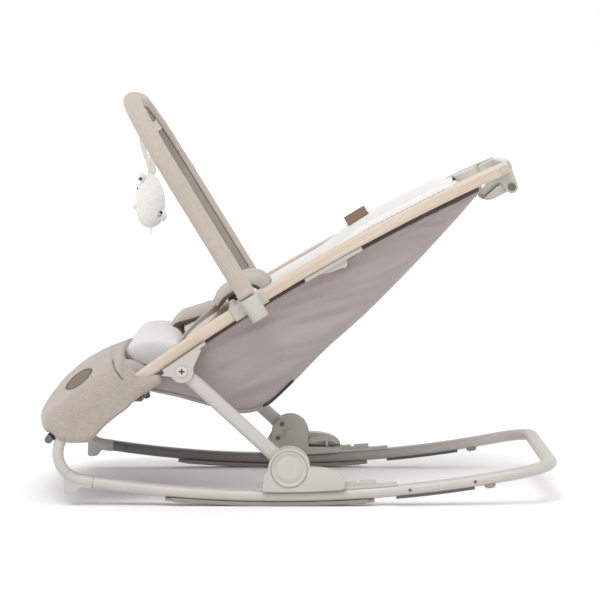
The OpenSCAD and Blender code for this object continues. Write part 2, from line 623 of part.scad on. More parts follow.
module bar_route(r, down) bar_frame() {
  both() translate([0, -bar_y, -down]) cylinder(r = r, h = bar_len - bar_bend + down, $fn = 64);
  both() translate([0, -(bar_y - bar_bend), bar_len - bar_bend]) rotate([0, 90, 0])
    rotate([0, 0, 180]) rotate_extrude(angle = 90, $fn = 128) translate([bar_bend, 0]) circle(r = r, $fn = 64);
  translate([0, bar_y - bar_bend, bar_len]) rotate([90, 0, 0]) cylinder(r = r, h = 2 * (bar_y - bar_bend), $fn = 64);
}
module toy_bar() color(cloth) {
  bar_route(bar_d / 2, bar_in - 1);
  bar_route(sleeve_d / 2, 0);
  for (j = [-1, 1]) slab(j * 7.5 - 1, j * 7.5 + 1) {
    translate([toy_pin[0], toy_pin[2]]) circle(r = 3.4, $fn = 32);
    translate([toy_pin[0] - 5, toy_pin[2] + 4]) rotate(-52) square([14, 6], center = true);
  }
  y_rod(toy_pin, -7.5, 7.5, 1.4, 24);
}

// Plush toy on its ribbon, which is looped over a small eyelet under the bar.
module toy() color([0.9, 0.88, 0.84]) {
  difference() {
    y_rod(toy_pin, -6, 6, 3.2, 32);
    y_rod(toy_pin, -7, 7, 1.9, 32);
  }
  translate([toy_pin[0] - 0.8, -6, 450]) cube([1.6, 12, toy_pin[2] - 450 - 2.4]);
  translate([toy_pin[0], 0, 404]) sphere(r = 25, $fn = 48);
  translate([toy_pin[0], 0, 436]) sphere(r = 21, $fn = 48);
}

// ---- Drawing ----

rocker_tube();
front_hoop();
elbow_left();
elbow_right();
rock_pad_left();
rock_pad_right();
rear_strips();
stop_feet();
track_left();
track_right();
base_screws();
housing_left();
housing_right();
side_plate_left();
side_plate_right();
cap_left();
cap_right();
shaft_left();
shaft_right();
plate_screws_left();
plate_screws_right();
release_left();
release_right();
release_spring_left();
release_spring_right();
leg_tube_left();
leg_tube_right();
leg_foot_left();
leg_foot_right();
leg_head_left();
leg_head_right();
rail_left();
rail_right();
bracket_left();
bracket_right();
pivot_bolts();
head_bar();
head_bracket_left();
head_bracket_right();
rail_caps();
latch_bar();
latch_grip();
latch_pins();
front_frame();
front_cover();
oval_patches();
sling();
side_clips();
seat_pad();
harness_straps();
crotch_pad();
buckle();
buckle_button();
tag();
bar_clamp_left();
bar_clamp_right();
clamp_button_left();
clamp_button_right();
toy_bar();
toy();
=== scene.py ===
from math import atan2, copysign, cos, degrees, pi, radians, sin, sqrt, tan

import bmesh
import bpy
from mathutils import Matrix, Vector, noise
from mathutils.bvhtree import BVHTree


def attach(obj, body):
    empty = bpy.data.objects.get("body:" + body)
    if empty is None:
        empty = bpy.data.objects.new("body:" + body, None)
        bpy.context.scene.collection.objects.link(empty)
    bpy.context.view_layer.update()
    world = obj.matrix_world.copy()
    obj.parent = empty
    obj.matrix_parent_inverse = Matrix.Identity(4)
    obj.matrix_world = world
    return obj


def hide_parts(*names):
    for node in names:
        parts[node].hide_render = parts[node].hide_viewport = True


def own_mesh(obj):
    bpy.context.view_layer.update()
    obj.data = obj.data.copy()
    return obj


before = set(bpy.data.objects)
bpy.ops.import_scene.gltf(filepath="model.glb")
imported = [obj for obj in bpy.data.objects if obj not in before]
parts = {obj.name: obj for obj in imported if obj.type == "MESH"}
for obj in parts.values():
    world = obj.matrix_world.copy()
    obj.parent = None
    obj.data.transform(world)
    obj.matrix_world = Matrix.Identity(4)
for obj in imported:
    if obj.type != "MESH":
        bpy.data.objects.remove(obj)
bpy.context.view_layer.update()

# ---- Rocker base tubes ----
# Steel tube in a warm light greige powder coat, with a faint orange peel and rubbed edges: the flattened U
# of the rocker, and the round front tube that the seat turns on. The rocker's inner face has painted
# shade, darker towards the foot end, for the seat's shadow falling on it.


def finish(name, roughness, **same_all_over):
    """A new material with its node tree and shader; sockets that are the same all over are set here."""
    material = bpy.data.materials.new(name)
    material.use_nodes = True
    shader = material.node_tree.nodes["Principled BSDF"]
    shader.inputs["Roughness"].default_value = roughness
    for socket, value in same_all_over.items():
        shader.inputs[socket.replace("_", " ")].default_value = value
    return material, material.node_tree, shader


def add(tree, kind, inputs=None, **settings):
    """Adds a node with its settings, and links or sets its inputs."""
    node = tree.nodes.new("ShaderNode" + kind)
    for setting, value in settings.items():
        setattr(node, setting, value)
    for socket, value in (inputs or {}).items():
        if isinstance(value, bpy.types.NodeSocket):
            tree.links.new(value, node.inputs[socket])
        else:
            node.inputs[socket].default_value = value
    return node


def blend_colours(tree, share, first, second):
    """The colour between two colours or colour sockets, by a share socket or number."""
    share, first, second = (v if isinstance(v, (bpy.types.NodeSocket, float)) else (*v, 1)
                            for v in (share, first, second))
    return add(tree, "Mix", {0: share, 6: first, 7: second}, data_type="RGBA").outputs[2]


def shade(colour, factor):
    """A lighter or darker colour of the same hue."""
    return tuple(min(1, c * factor) for c in colour)


def stretch(tree, value, low, high, to_low=0.0, to_high=1.0):
    """A value mapped from one range to another, and clamped."""
    return add(tree, "MapRange", {"Value": value, "From Min": low, "From Max": high, "To Min": to_low,
                                  "To Max": to_high}).outputs["Result"]


def calc(tree, operation, first, second):
    """What a Math node makes of two sockets or numbers."""
    return add(tree, "Math", {0: first, 1: second}, operation=operation).outputs["Value"]


def grain(tree, place, scale, detail=2.0, **sockets):
    """Noise of one scale over a surface."""
    return add(tree, "TexNoise", {"Vector": place, "Scale": scale, "Detail": detail,
                                  **sockets}).outputs["Fac"]


def bump(tree, height, strength, distance, **under):
    """A normal raised by a height, on top of another Normal where one is given."""
    return add(tree, "Bump", {"Height": height, "Strength": strength, "Distance": distance,
                              **under}).outputs["Normal"]


def coat(name, colour, roughness, pitch, depth, worn, edge=0.0008):
    """A hard coat or moulded plastic: cloudy colour, fine grain, rounded edges that are rubbed lighter."""
    material, tree, shader = finish(name, roughness)
    place = add(tree, "TexCoord").outputs["Object"]
    cloud = grain(tree, place, 17.0, 4.0)
    scuffs = grain(tree, place, 95.0, 6.0, Roughness=0.7)
    fine = grain(tree, place, pitch)
    rounded = add(tree, "Bevel", {"Radius": edge}, samples=6).outputs["Normal"]
    flat = add(tree, "NewGeometry").outputs["Normal"]
    turned = add(tree, "VectorMath", {0: rounded, 1: flat}, operation="DOT_PRODUCT").outputs["Value"]
    rubbed = calc(tree, "MULTIPLY", stretch(tree, turned, 0.995, 0.86),
                  stretch(tree, scuffs, 0.4, 0.66, 0.0, worn))
    body = blend_colours(tree, stretch(tree, cloud, 0.3, 0.7), shade(colour, 0.96), shade(colour, 1.03))
    tree.links.new(blend_colours(tree, rubbed, body, shade(colour, 1.35)), shader.inputs["Base Color"])
    sheen = calc(tree, "ADD", stretch(tree, cloud, 0.3, 0.7, roughness - 0.05, roughness + 0.05),
                 stretch(tree, scuffs, 0.4, 0.7, 0.0, 0.07))
    tree.links.new(sheen, shader.inputs["Roughness"])
    tree.links.new(bump(tree, fine, 0.35, depth, Normal=rounded), shader.inputs["Normal"])
    return material


def overpaint(material, share, colour):
    """Lays a colour over a material's own, by a share socket."""
    tree = material.node_tree
    socket = tree.nodes["Principled BSDF"].inputs["Base Color"]
    tree.links.new(blend_colours(tree, share, socket.links[0].from_socket, colour), socket)


def dress(material, *names):
    """Gives CAD nodes that stay on show their finished material."""
    for node_name in names:
        parts[node_name].data.materials.clear()
        parts[node_name].data.materials.append(material)


greige = (0.483, 0.457, 0.418)
tube_coat, rocker_coat = (coat(name, greige, 0.34, 900.0, 0.0002, 0.5, 0.0010)
                          for name in ("powder_coat", "rocker_coat"))
dress(tube_coat, "front_hoop", "leg_tube_left", "leg_tube_right")
tree = rocker_coat.node_tree
spot = add(tree, "SeparateXYZ", {0: add(tree, "TexCoord").outputs["Object"]}).outputs
facing = add(tree, "SeparateXYZ", {0: add(tree, "NewGeometry").outputs["Normal"]}).outputs["Y"]
inward = calc(tree, "MULTIPLY", facing, stretch(tree, spot["Y"], -0.01, 0.01, 1.0, -1.0))
# Painted shade: the rocker's inner faces are darkened towards the foot end, for the seat's shadow on them.
painted_seat_shadow = calc(tree, "MULTIPLY", stretch(tree, inward, 0.1, 0.5), stretch(tree, spot["X"], 0.31, -0.12))
overpaint(rocker_coat, painted_seat_shadow, shade(greige, 0.38))
dress(rocker_coat, "rocker_tube")

# ---- Elbows, tracks, carriages and end fittings ----
# Injection moulded parts in the same greige, fine spark texture, with soft edges all round. The visible
# ones are rounded copies of their construction solids, so that their edges catch the light.

moulding = coat("moulded_plastic", shade(greige, 0.98), 0.43, 1500.0, 0.00025, 0.35)
dress(moulding, "track_left", "track_right", "leg_foot_left", "leg_foot_right", "leg_head_left",
      "leg_head_right", "release_left", "release_right", "side_clips", "rail_caps", "buckle_button")
# Painted light: the head bar's greige is lighter than the other mouldings', to lift it out of the shade it
# sits in.
dress(coat("head_bar_painted_light", shade(greige, 1.22), 0.4, 1500.0, 0.0002, 0.35), "head_bar")


def clean_copy(node_name):
    """A construction solid as a bmesh, its doubles merged and each flat face in one piece."""
    shape = bmesh.new()
    shape.from_mesh(parts[node_name].data)
    bmesh.ops.remove_doubles(shape, verts=shape.verts, dist=0.00002)
    bmesh.ops.dissolve_limit(shape, angle_limit=radians(1.5), verts=shape.verts, edges=shape.edges)
    return shape


def round_edges(shape, edges, radius, segments):
    """Rounds some edges of a shape."""
    bmesh.ops.bevel(shape, geom=edges, offset=radius, offset_type="OFFSET", segments=segments, profile=0.5,
                    affect="EDGES", clamp_overlap=True, material=-1)


def in_scene(name, data):
    """A new object in the scene."""
    thing = bpy.data.objects.new(name, data)
    bpy.context.scene.collection.objects.link(thing)
    return thing


def to_piece(shape, name, material, body=None, smooth=True):
    """Turns a finished bmesh into an object with a material, riding on a body. With smooth=None each
    face keeps its own shading."""
    if smooth is not None:
        for face in shape.faces:
            face.smooth = smooth
    mesh = bpy.data.meshes.new(name)
    shape.to_mesh(mesh)
    shape.free()
    mesh.materials.append(material)
    piece = in_scene(name, mesh)
    if body:
        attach(piece, body)
    return piece


def rounded_copy(node_name, body, radius, material):
    """A copy of a construction solid with its sharp edges rounded, which stands in for it."""
    shell = clean_copy(node_name)
    sharp = [e for e in shell.edges if e.is_manifold and e.calc_face_angle(0) > radians(32)]
    round_edges(shell, sharp, radius, 2)
    bmesh.ops.triangulate(shell, faces=[f for f in shell.faces if len(f.verts) > 4])
    for line in shell.edges:
        line.smooth = not (line.is_manifold and line.calc_face_angle(0) > radians(35))
    piece = to_piece(shell, node_name + "_rounded", material, body)
    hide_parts(node_name)
    return piece


for side in ("left", "right"):
    for node_name, body, radius in (("elbow_", "base", 0.0009), ("housing_", "carriage_" + side, 0.0013),
                                    ("side_plate_", "carriage_" + side, 0.0008), ("bracket_", "seat", 0.0008),
                                    ("head_bracket_", "seat", 0.0009), ("bar_clamp_", "seat", 0.0008),
                                    ("clamp_button_", "bar_button_" + side, 0.0004)):
        rounded_copy(node_name + side, body, radius, moulding)
rounded_copy("latch_bar", "latch", 0.0008, moulding)

# ---- Pads under the tubes ----
# Moulded rubber in a darker taupe, matt, with its edges rubbed a little lighter. The strips at the
# rear are nearly black.

rubber = coat("pad_rubber", (0.27, 0.245, 0.215), 0.72, 700.0, 0.0004, 0.25)
dress(rubber, "rock_pad_left", "rock_pad_right", "stop_feet")
dress(coat("dark_rubber", (0.10, 0.095, 0.085), 0.7, 700.0, 0.0004, 0.2), "rear_strips")

# ---- Screws, bolts, shafts and springs ----
# Plated steel with fine turning marks: bright shafts and springs, darker screws, and pale pivot bolts with
# a cross slot.


def plated(name, low, high, metallic=0.9):
    """Plated steel with cloudy patches and fine turning marks."""
    material, tree, shader = finish(name, 0.32, Metallic=metallic)
    place = add(tree, "TexCoord").outputs["Object"]
    patches = grain(tree, place, 260.0, 4.0)
    tree.links.new(blend_colours(tree, patches, low, high), shader.inputs["Base Color"])
    tree.links.new(stretch(tree, patches, 0.3, 0.7, 0.25, 0.45), shader.inputs["Roughness"])
    tree.links.new(bump(tree, grain(tree, place, 2600.0), 0.3, 0.0001), shader.inputs["Normal"])
    return material


zinc = plated("zinc_steel", (0.42, 0.41, 0.39), (0.62, 0.61, 0.58))
dress(zinc, "shaft_left", "shaft_right")
for side in ("left", "right"):
    spring = rounded_copy("release_spring_" + side, "carriage_" + side, 0.0002, zinc)
    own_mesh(spring)
dress(plated("dark_zinc", (0.10, 0.097, 0.09), (0.22, 0.215, 0.2)), "base_screws", "latch_pins",
      "plate_screws_left", "plate_screws_right")

bolt_x, bolt_z = -0.1568, 0.189
bolt_steel = plated("bolt_steel", (0.50, 0.48, 0.445), (0.62, 0.60, 0.56), metallic=0.35)
tree = bolt_steel.node_tree
centred = add(tree, "Mapping", {"Vector": add(tree, "TexCoord").outputs["Object"],
                                "Location": (-bolt_x, 0, -bolt_z)}).outputs["Vector"]
bolt_way = add(tree, "SeparateXYZ", {0: centred}).outputs
# Painted shade: the cross slot is not cut into the bolt; it is painted near black, for the shade inside it.
arms = [add(tree, "Math", {0: bolt_way[axis]}, operation="ABSOLUTE").outputs["Value"] for axis in ("X", "Z")]
thin = stretch(tree, calc(tree, "MINIMUM", *arms), 0.0013, 0.0009)
short = stretch(tree, calc(tree, "MAXIMUM", *arms), 0.0042, 0.0036)
overpaint(bolt_steel, calc(tree, "MULTIPLY", thin, short), (0.03, 0.03, 0.028))
dress(bolt_steel, "pivot_bolts")

# ---- Dark trim ----
# Nylon: near black for the buckle, dark grey for the front frame, mid grey for the latch's grip. The front
# frame is a copy whose sockets stop short of the rails' feet, inside the cover's cuffs.

nylon = coat("dark_nylon", (0.028, 0.026, 0.024), 0.36, 1300.0, 0.0002, 0.3)
dress(nylon, "buckle")
grip_nylon = coat("grey_nylon", (0.27, 0.262, 0.24), 0.4, 1300.0, 0.0002, 0.3)
rounded_copy("latch_grip", "latch", 0.0006, grip_nylon)
frame_nylon = coat("frame_nylon", (0.12, 0.112, 0.105), 0.45, 1300.0, 0.0002, 0.3)
cuff_end, cuff_y = -0.2245, 0.1868
front_frame = rounded_copy("front_frame", "seat", 0.0004, frame_nylon)
fine = bmesh.new()
fine.from_mesh(front_frame.data)
for _ in range(3):
    long_edges = [e for e in fine.edges if e.calc_length() > 0.014 and min(v.co.z for v in e.verts) > 0.12]
    bmesh.ops.subdivide_edges(fine, edges=long_edges, cuts=1)
    bmesh.ops.triangulate(fine, faces=[f for f in fine.faces if len(f.verts) > 3])
fine.to_mesh(front_frame.data)
fine.free()
for vert in front_frame.data.vertices:
    if abs(vert.co.y) > cuff_y and vert.co.z > 0.14:
        vert.co.x = min(vert.co.x, cuff_end)

# ---- Cover discs on the carriages ----
# Plain turned discs of the same plastic that snap over the pivots, with a rolled rim and a fine ring let in.
# Each is one profile, from the middle of its face to its rim, spun round the pivot.

pivot_x, pivot_z = -0.008, 0.0529
sides = (("left", -1), ("right", 1))
disc_steps = [(0.0, 0.2184), (0.0110, 0.2185), (0.0180, 0.2186), (0.0186, 0.2180), (0.0191, 0.2180),
              (0.0197, 0.2186), (0.0222, 0.2184), (0.0228, 0.2190), (0.0240, 0.2191), (0.0248, 0.2185),
              (0.0250, 0.2152)]
for side, sign in sides:
    disc = bmesh.new()
    rim = [disc.verts.new((pivot_x + r, y * sign, pivot_z)) for r, y in disc_steps]
    lines = [disc.edges.new(pair) for pair in zip(rim, rim[1:])]
    bmesh.ops.spin(disc, geom=rim + lines, cent=(pivot_x, 0, pivot_z), axis=(0, 1, 0), angle=2 * pi,
                   steps=96, use_merge=True)
    bmesh.ops.remove_doubles(disc, verts=disc.verts, dist=0.00001)
    bmesh.ops.holes_fill(disc, edges=disc.edges, sides=0)
    bmesh.ops.recalc_face_normals(disc, faces=disc.faces)
    for face in disc.faces:
        face.smooth = len(face.verts) < 5
    cover_disc = to_piece(disc, "cover_disc_" + side, moulding, "carriage_" + side, smooth=None)
    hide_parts("cap_" + side)

# ---- Bentwood rails ----
# Beech veneers glued up on a curved former: thin lines run along the bend where the veneers meet, with
# pores and a satin clear lacquer. The pattern follows the bend's own radius and angle.


def scaled(tree, place, scale):
    """A place whose three axes are stretched."""
    return add(tree, "Mapping", {"Vector": place, "Scale": scale}).outputs["Vector"]


bend_x, bend_z, bend_r = 1.490, -2.2339, 2.955
beech, tree, shader = finish("lacquered_beech", 0.4, Coat_Weight=0.12, Coat_Roughness=0.25)
centred = add(tree, "Mapping", {"Vector": add(tree, "TexCoord").outputs["Object"],
                                "Location": (-bend_x, 0, -bend_z)}).outputs["Vector"]
axes = add(tree, "SeparateXYZ", {"Vector": centred}).outputs
in_plane = add(tree, "CombineXYZ", {"X": axes["X"], "Z": axes["Z"]}).outputs[0]
far = add(tree, "VectorMath", {0: in_plane}, operation="LENGTH").outputs["Value"]
run = calc(tree, "MULTIPLY", calc(tree, "ARCTAN2", axes["Z"], axes["X"]), bend_r)
bent = add(tree, "CombineXYZ", {"X": run, "Y": axes["Y"], "Z": far}).outputs[0]
fibres = grain(tree, scaled(tree, bent, (14, 420, 900)), 1.0, 5.0, Roughness=0.65)
figure = grain(tree, scaled(tree, bent, (4, 60, 190)), 1.0, 3.0, Distortion=0.4)
veneers = add(tree, "TexWave", {"Vector": scaled(tree, bent, (0.02, 0.3, 1.0)), "Scale": 88.0,
                                "Distortion": 0.6, "Detail": 1.0, "Detail Scale": 30.0},
              bands_direction="Z").outputs["Fac"]
tone = blend_colours(tree, stretch(tree, figure, 0.3, 0.7), (0.515, 0.405, 0.31), (0.61, 0.51, 0.42))
tone = blend_colours(tree, stretch(tree, fibres, 0.45, 0.75, 0.0, 0.55), tone, (0.67, 0.585, 0.50))
tone = blend_colours(tree, stretch(tree, veneers, 0.80, 0.98, 0.0, 0.30), tone, (0.34, 0.25, 0.175))
tree.links.new(tone, shader.inputs["Base Color"])
tree.links.new(stretch(tree, fibres, 0.3, 0.8, 0.34, 0.52), shader.inputs["Roughness"])
edge_light = add(tree, "Bevel", {"Radius": 0.0008}, samples=6).outputs["Normal"]
tree.links.new(bump(tree, fibres, 0.25, 0.0002, Normal=edge_light), shader.inputs["Normal"])
dress(beech, "rail_left", "rail_right")


def rail_z(x):
    """Height of the rails' centre line, with x in metres."""
    return bend_z + sqrt(bend_r**2 - (x - bend_x) ** 2)


def rail_y(x):
    """Distance of a rail's centre line from the middle plane; the rails toe in towards the head."""
    return 0.196 - (x + 0.220) * tan(radians(5))


# ---- Front cover ----
# Padded melange cloth sewn into a shoe over the front frame: one wide top panel, a flat panel on each
# side, a seam across near the pad and a rolled lower edge. It is open underneath.


def cloth(name, dark, light, pitch, melange, depth, along_surface=False, roughness=0.9, **sockets):
    """Woven or knitted cloth: threads both ways, flecks of lighter yarn and soft blotches. A wave texture
    of scale 1 repeats every 0.31416 m, which gives the scale for a pitch of the threads."""
    material, tree, shader = finish(name, roughness, **sockets)
    place = add(tree, "TexCoord").outputs["UV" if along_surface else "Object"]
    threads = [add(tree, "TexWave", {"Vector": place, "Scale": 0.31416 / pitch, "Distortion": 0.5,
                                     "Detail": 1.0, "Detail Scale": 2.0}, bands_direction=way).outputs["Fac"]
               for way in ("XY" if along_surface else "XYZ")]
    height = threads[0]
    for thread in threads[1:]:
        height = calc(tree, "ADD", height, thread)
    height = calc(tree, "MULTIPLY", height, 1 / len(threads))
    flecks = grain(tree, place, 520.0, 3.0, Roughness=0.6)
    slubs = grain(tree, scaled(tree, place, (1.0, 3.0, 4.5)), 110.0, 4.0, Roughness=0.7)
    mixed = calc(tree, "MULTIPLY", calc(tree, "ADD", flecks, slubs), 0.5)
    middle = tuple((a + b) / 2 for a, b in zip(dark, light))
    base = blend_colours(tree, stretch(tree, mixed, 0.34, 0.66), dark, light)
    base = blend_colours(tree, melange, middle, base)
    # Painted shade: the cloth is darker where the weave is low, in the hollows between the threads.
    base = blend_colours(tree, stretch(tree, height, 0.05, 0.4, 0.35, 0.0), base, shade(dark, 0.72))
    blotches = stretch(tree, grain(tree, place, 9.0, 3.0), 0.35, 0.7, 0.0, 0.22)
    tree.links.new(blend_colours(tree, blotches, base, shade(middle, 0.88)), shader.inputs["Base Color"])
    tree.links.new(stretch(tree, calc(tree, "MULTIPLY", height, flecks), 0.0, 0.6, roughness - 0.06,
                           min(1.0, roughness + 0.06)), shader.inputs["Roughness"])
    weave = bump(tree, height, 0.55, depth)
    tree.links.new(bump(tree, mixed, 0.35, depth * 1.5, Normal=weave), shader.inputs["Normal"])
    return material


melange_cloth = cloth("melange_cloth", (0.275, 0.23, 0.196), (0.465, 0.405, 0.358), 0.0011, 0.65, 0.0003,
                      Sheen_Weight=0.25, Sheen_Roughness=0.5)


def even_skin(shape, voxel, smoothing):
    """Remeshes a closed bmesh into an even skin of small quads and relaxes it."""
    mesh = bpy.data.meshes.new("skin")
    shape.to_mesh(mesh)
    shape.free()
    carrier = in_scene("skin", mesh)
    remesh = carrier.modifiers.new("even", "REMESH")
    remesh.mode = "VOXEL"
    remesh.voxel_size = voxel
    done = carrier.evaluated_get(bpy.context.evaluated_depsgraph_get())
    skin = bmesh.new()
    skin.from_mesh(done.to_mesh())
    done.to_mesh_clear()
    bpy.data.objects.remove(carrier)
    for _ in range(smoothing):
        bmesh.ops.smooth_vert(skin, verts=skin.verts, factor=0.5, use_axis_x=True, use_axis_y=True,
                              use_axis_z=True)
    return skin


def arc(cx, cz, r, start, end, steps):
    """Points round a centre in the side view, in metres from millimetres, with angles in degrees."""
    return [(0.001 * (cx + r * cos(radians(start + (end - start) * i / steps))),
             0.001 * (cz + r * sin(radians(start + (end - start) * i / steps)))) for i in range(steps + 1)]


def mm(*points):
    """Points of the side view, in metres from millimetres."""
    return [(0.001 * x, 0.001 * z) for x, z in points]


def ease(value, low, high):
    """0 below low, 1 above high, and smooth between."""
    t = max(0.0, min(1.0, (value - low) / (high - low)))
    return t * t * (3 - 2 * t)


def slab(outline, low_y, high_y):
    """A closed solid: a side outline drawn out across the seat."""
    shape = bmesh.new()
    face = shape.faces.new([shape.verts.new((x, low_y, z)) for x, z in outline])
    drawn = bmesh.ops.extrude_face_region(shape, geom=[face])
    moved = [v for v in drawn["geom"] if isinstance(v, bmesh.types.BMVert)]
    bmesh.ops.translate(shape, verts=moved, vec=(0, high_y - low_y, 0))
    bmesh.ops.recalc_face_normals(shape, faces=shape.faces)
    return shape


def join(whole, part):
    """Moves what a shape holds into another one."""
    mesh = bpy.data.meshes.new("part")
    part.to_mesh(mesh)
    part.free()
    whole.from_mesh(mesh)


def cut(shape, place, normal):
    """Cuts new edges into a shape where a plane passes through it."""
    bmesh.ops.bisect_plane(shape, geom=shape.verts[:] + shape.edges[:] + shape.faces[:], dist=1e-6,
                           plane_co=place, plane_no=normal)


def give_wall(piece, thickness, offset=-1):
    """Gives a sheet of cloth or tape its thickness, inwards or to both sides (offset 0)."""
    wall = piece.modifiers.new("wall", "SOLIDIFY")
    wall.thickness = thickness
    wall.offset = offset


cover_half = 0.2132
top_x, top_z, top_r = -204.7, 33.4, 183.4
cover_outline = arc(top_x, top_z, top_r, 102.5, 154.7, 20) + mm(
    (-365.5, 103), (-347, 97), (-330, 91), (-312, 87.5), (-289, 88), (-278, 96), (-265, 112), (-223, 148),
    (-183, 174.5), (-189, 184), (-222, 180), (-238, 190))
shoe = slab(cover_outline, -cover_half, cover_half)
round_edges(shoe, [e for e in shoe.edges if abs(e.verts[0].co.y - e.verts[1].co.y) < 1e-6], 0.009, 4)
cheek_outline = mm((-266, 200), (-254, 205), (-243, 205), (-230, 201), (-209, 189), (-194, 180), (-189, 172),
                   (-262, 172))
cuff_outline = mm((-260, 205), (-240, 201), (-224, 189), (-221, 180), (-226, 168), (-260, 168))
for outline, inner, outer in ((cheek_outline, -0.1865, -0.142), (cheek_outline, 0.142, 0.1865),
                              (cuff_outline, -cover_half, -0.182), (cuff_outline, 0.182, cover_half)):
    join(shoe, slab(outline, inner, outer))
shoe = even_skin(shoe, 0.0032, 5)

# The top is crowned across the seat, and the corners at the toe are rounded.
toe_x, toe_round, corner_round, crown = -0.371, 0.046, 0.024, 0.024
heart = Vector((0.001 * top_x, 0, 0.001 * top_z))
for vert in shoe.verts:
    run_in = max(0.0, toe_round - (vert.co.x - toe_x))
    reach = cover_half - toe_round + sqrt(max(0.0, toe_round**2 - run_in**2))
    past = max(0.0, abs(vert.co.y) - (cover_half - corner_round)) / corner_round
    outward = (vert.co.y / cover_half) ** 2
    drop = crown * outward + corner_round * (1 - sqrt(max(0.0, 1 - min(1.0, past) ** 2)))
    ray = Vector((vert.co.x - heart.x, 0, vert.co.z - heart.z))
    bearing = degrees(atan2(ray.z, ray.x))
    drop *= ease(ray.length, 0.09, 0.18) * ease(bearing, 96, 109) * (1 - ease(bearing, 138, 153))
    vert.co -= ray.normalized() * drop
    vert.co.x += 0.016 * outward * ease(bearing, 138, 153) * ease(-vert.co.x, 0.315, 0.36)
    vert.co.y *= reach / cover_half

# The seam across is let in, and the cloth swells unevenly over its wadding.
seam_top, seam_low = Vector((-0.2745, 0, 0.2164)), Vector((-0.2438, 0, 0.1829))
seam_half, seam_depth = 0.0026, 0.0016
normal = (seam_low - seam_top).cross(Vector((0, 1, 0))).normalized()
for offset in (-0.0022, -0.0011, 0, 0.0011, 0.0022):
    cut(shoe, seam_top + normal * offset, normal)
seam_line = [v for v in shoe.verts if abs((v.co - seam_top).dot(normal)) < 0.00002 and v.co.z > 0.1775]
shoe.normal_update()
for vert in shoe.verts:
    away = abs((vert.co - seam_top).dot(normal))
    if away < 0.0035 and vert.co.z > 0.178 and vert.normal.z > -0.3:
        vert.co -= vert.normal * seam_depth * max(0.0, 1 - (away / seam_half) ** 2)
    swell = noise.noise(vert.co * 22) * 0.0012 + noise.noise(vert.co * 60) * 0.0004
    vert.co += vert.normal * swell
seam_places = [v.co + v.normal * 0.0003 for v in seam_line]
seam_places.sort(key=lambda place: atan2(place.y, place.z - 0.10))
underneath = [f for f in shoe.faces if f.normal.z < -0.45 and f.calc_center_median().x > -0.362
              and abs(f.calc_center_median().y) < cover_half - 0.010 and f.calc_center_median().z < 0.17]
bmesh.ops.delete(shoe, geom=underneath, context="FACES")
bmesh.ops.delete(shoe, geom=[v for v in shoe.verts if not v.link_faces], context="VERTS")

# Where the front frame comes close to the cover, it is kept a little inside it.
cover_surface = BVHTree.FromBMesh(shoe)
frame_depth = 0.0055
for vert in front_frame.data.vertices:
    if vert.co.z > 0.165 and vert.co.x > -0.30:
        place, facing_out, _, _ = cover_surface.find_nearest(vert.co)
        if (vert.co - place).dot(facing_out) > -frame_depth:
            vert.co = place - facing_out * frame_depth
front_cover = to_piece(shoe, "padded_cover", melange_cloth)
give_wall(front_cover, 0.0026)
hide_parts("front_cover")
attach(front_cover, "seat")


def sewn_cord(name, places, radius, material, body, closed=False):
    """A thin cord through places, as a mesh."""
    line = bpy.data.curves.new(name, "CURVE")
    line.dimensions = "3D"
    spline = line.splines.new("POLY")
    spline.points.add(len(places) - 1)
    for point, place in zip(spline.points, places):
        point.co = (*place, 1)
    spline.use_cyclic_u = closed
    line.bevel_depth = radius
    line.bevel_resolution = 2
    line.use_fill_caps = not closed
    carrier = in_scene(name + "_line", line)
    mesh = bpy.data.meshes.new_from_object(carrier.evaluated_get(bpy.context.evaluated_depsgraph_get()))
    bpy.data.objects.remove(carrier)
    mesh.name = name
    mesh.materials.clear()
    mesh.materials.append(material)
    for face in mesh.polygons:
        face.use_smooth = True
    piece = in_scene(name, mesh)
    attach(piece, body)
    return piece


seam_thread = cloth("seam_thread", (0.06, 0.046, 0.036), (0.12, 0.093, 0.075), 0.0009, 0.5, 0.0002,
                    roughness=0.8)
for side, sign in sides:
    on_side = [place for place in seam_places if place.y * sign > 0.136]
    sewn_cord("cover_seam_" + side, on_side, 0.0006, seam_thread, "seat")

# ---- Oval patches ----
# Blank knitted ovals with a darker rolled rim, sewn to the cover's sides. Each is a grid bent into an oval
# and laid on the cover.

dark_knit = cloth("dark_knit", (0.10, 0.078, 0.062), (0.24, 0.195, 0.16), 0.0016, 0.9, 0.0006, roughness=0.85)
rim_cloth = cloth("rim_cloth", (0.05, 0.038, 0.03), (0.12, 0.09, 0.07), 0.001, 0.6, 0.0003, roughness=0.8)
patch_turn, patch_x, patch_z = radians(34), -0.3055, 0.1715
patch_long, patch_short = 0.0243, 0.0063


def patch_point(angle, share):
    """A point of the oval in the side plane; its outline is pointed a little at both ends."""
    long_way = patch_long * cos(angle) * share
    short_way = patch_short * sin(angle) * (abs(sin(angle)) ** 0.25) * share
    return (patch_x + long_way * cos(patch_turn) - short_way * sin(patch_turn),
            patch_z + long_way * sin(patch_turn) + short_way * cos(patch_turn))


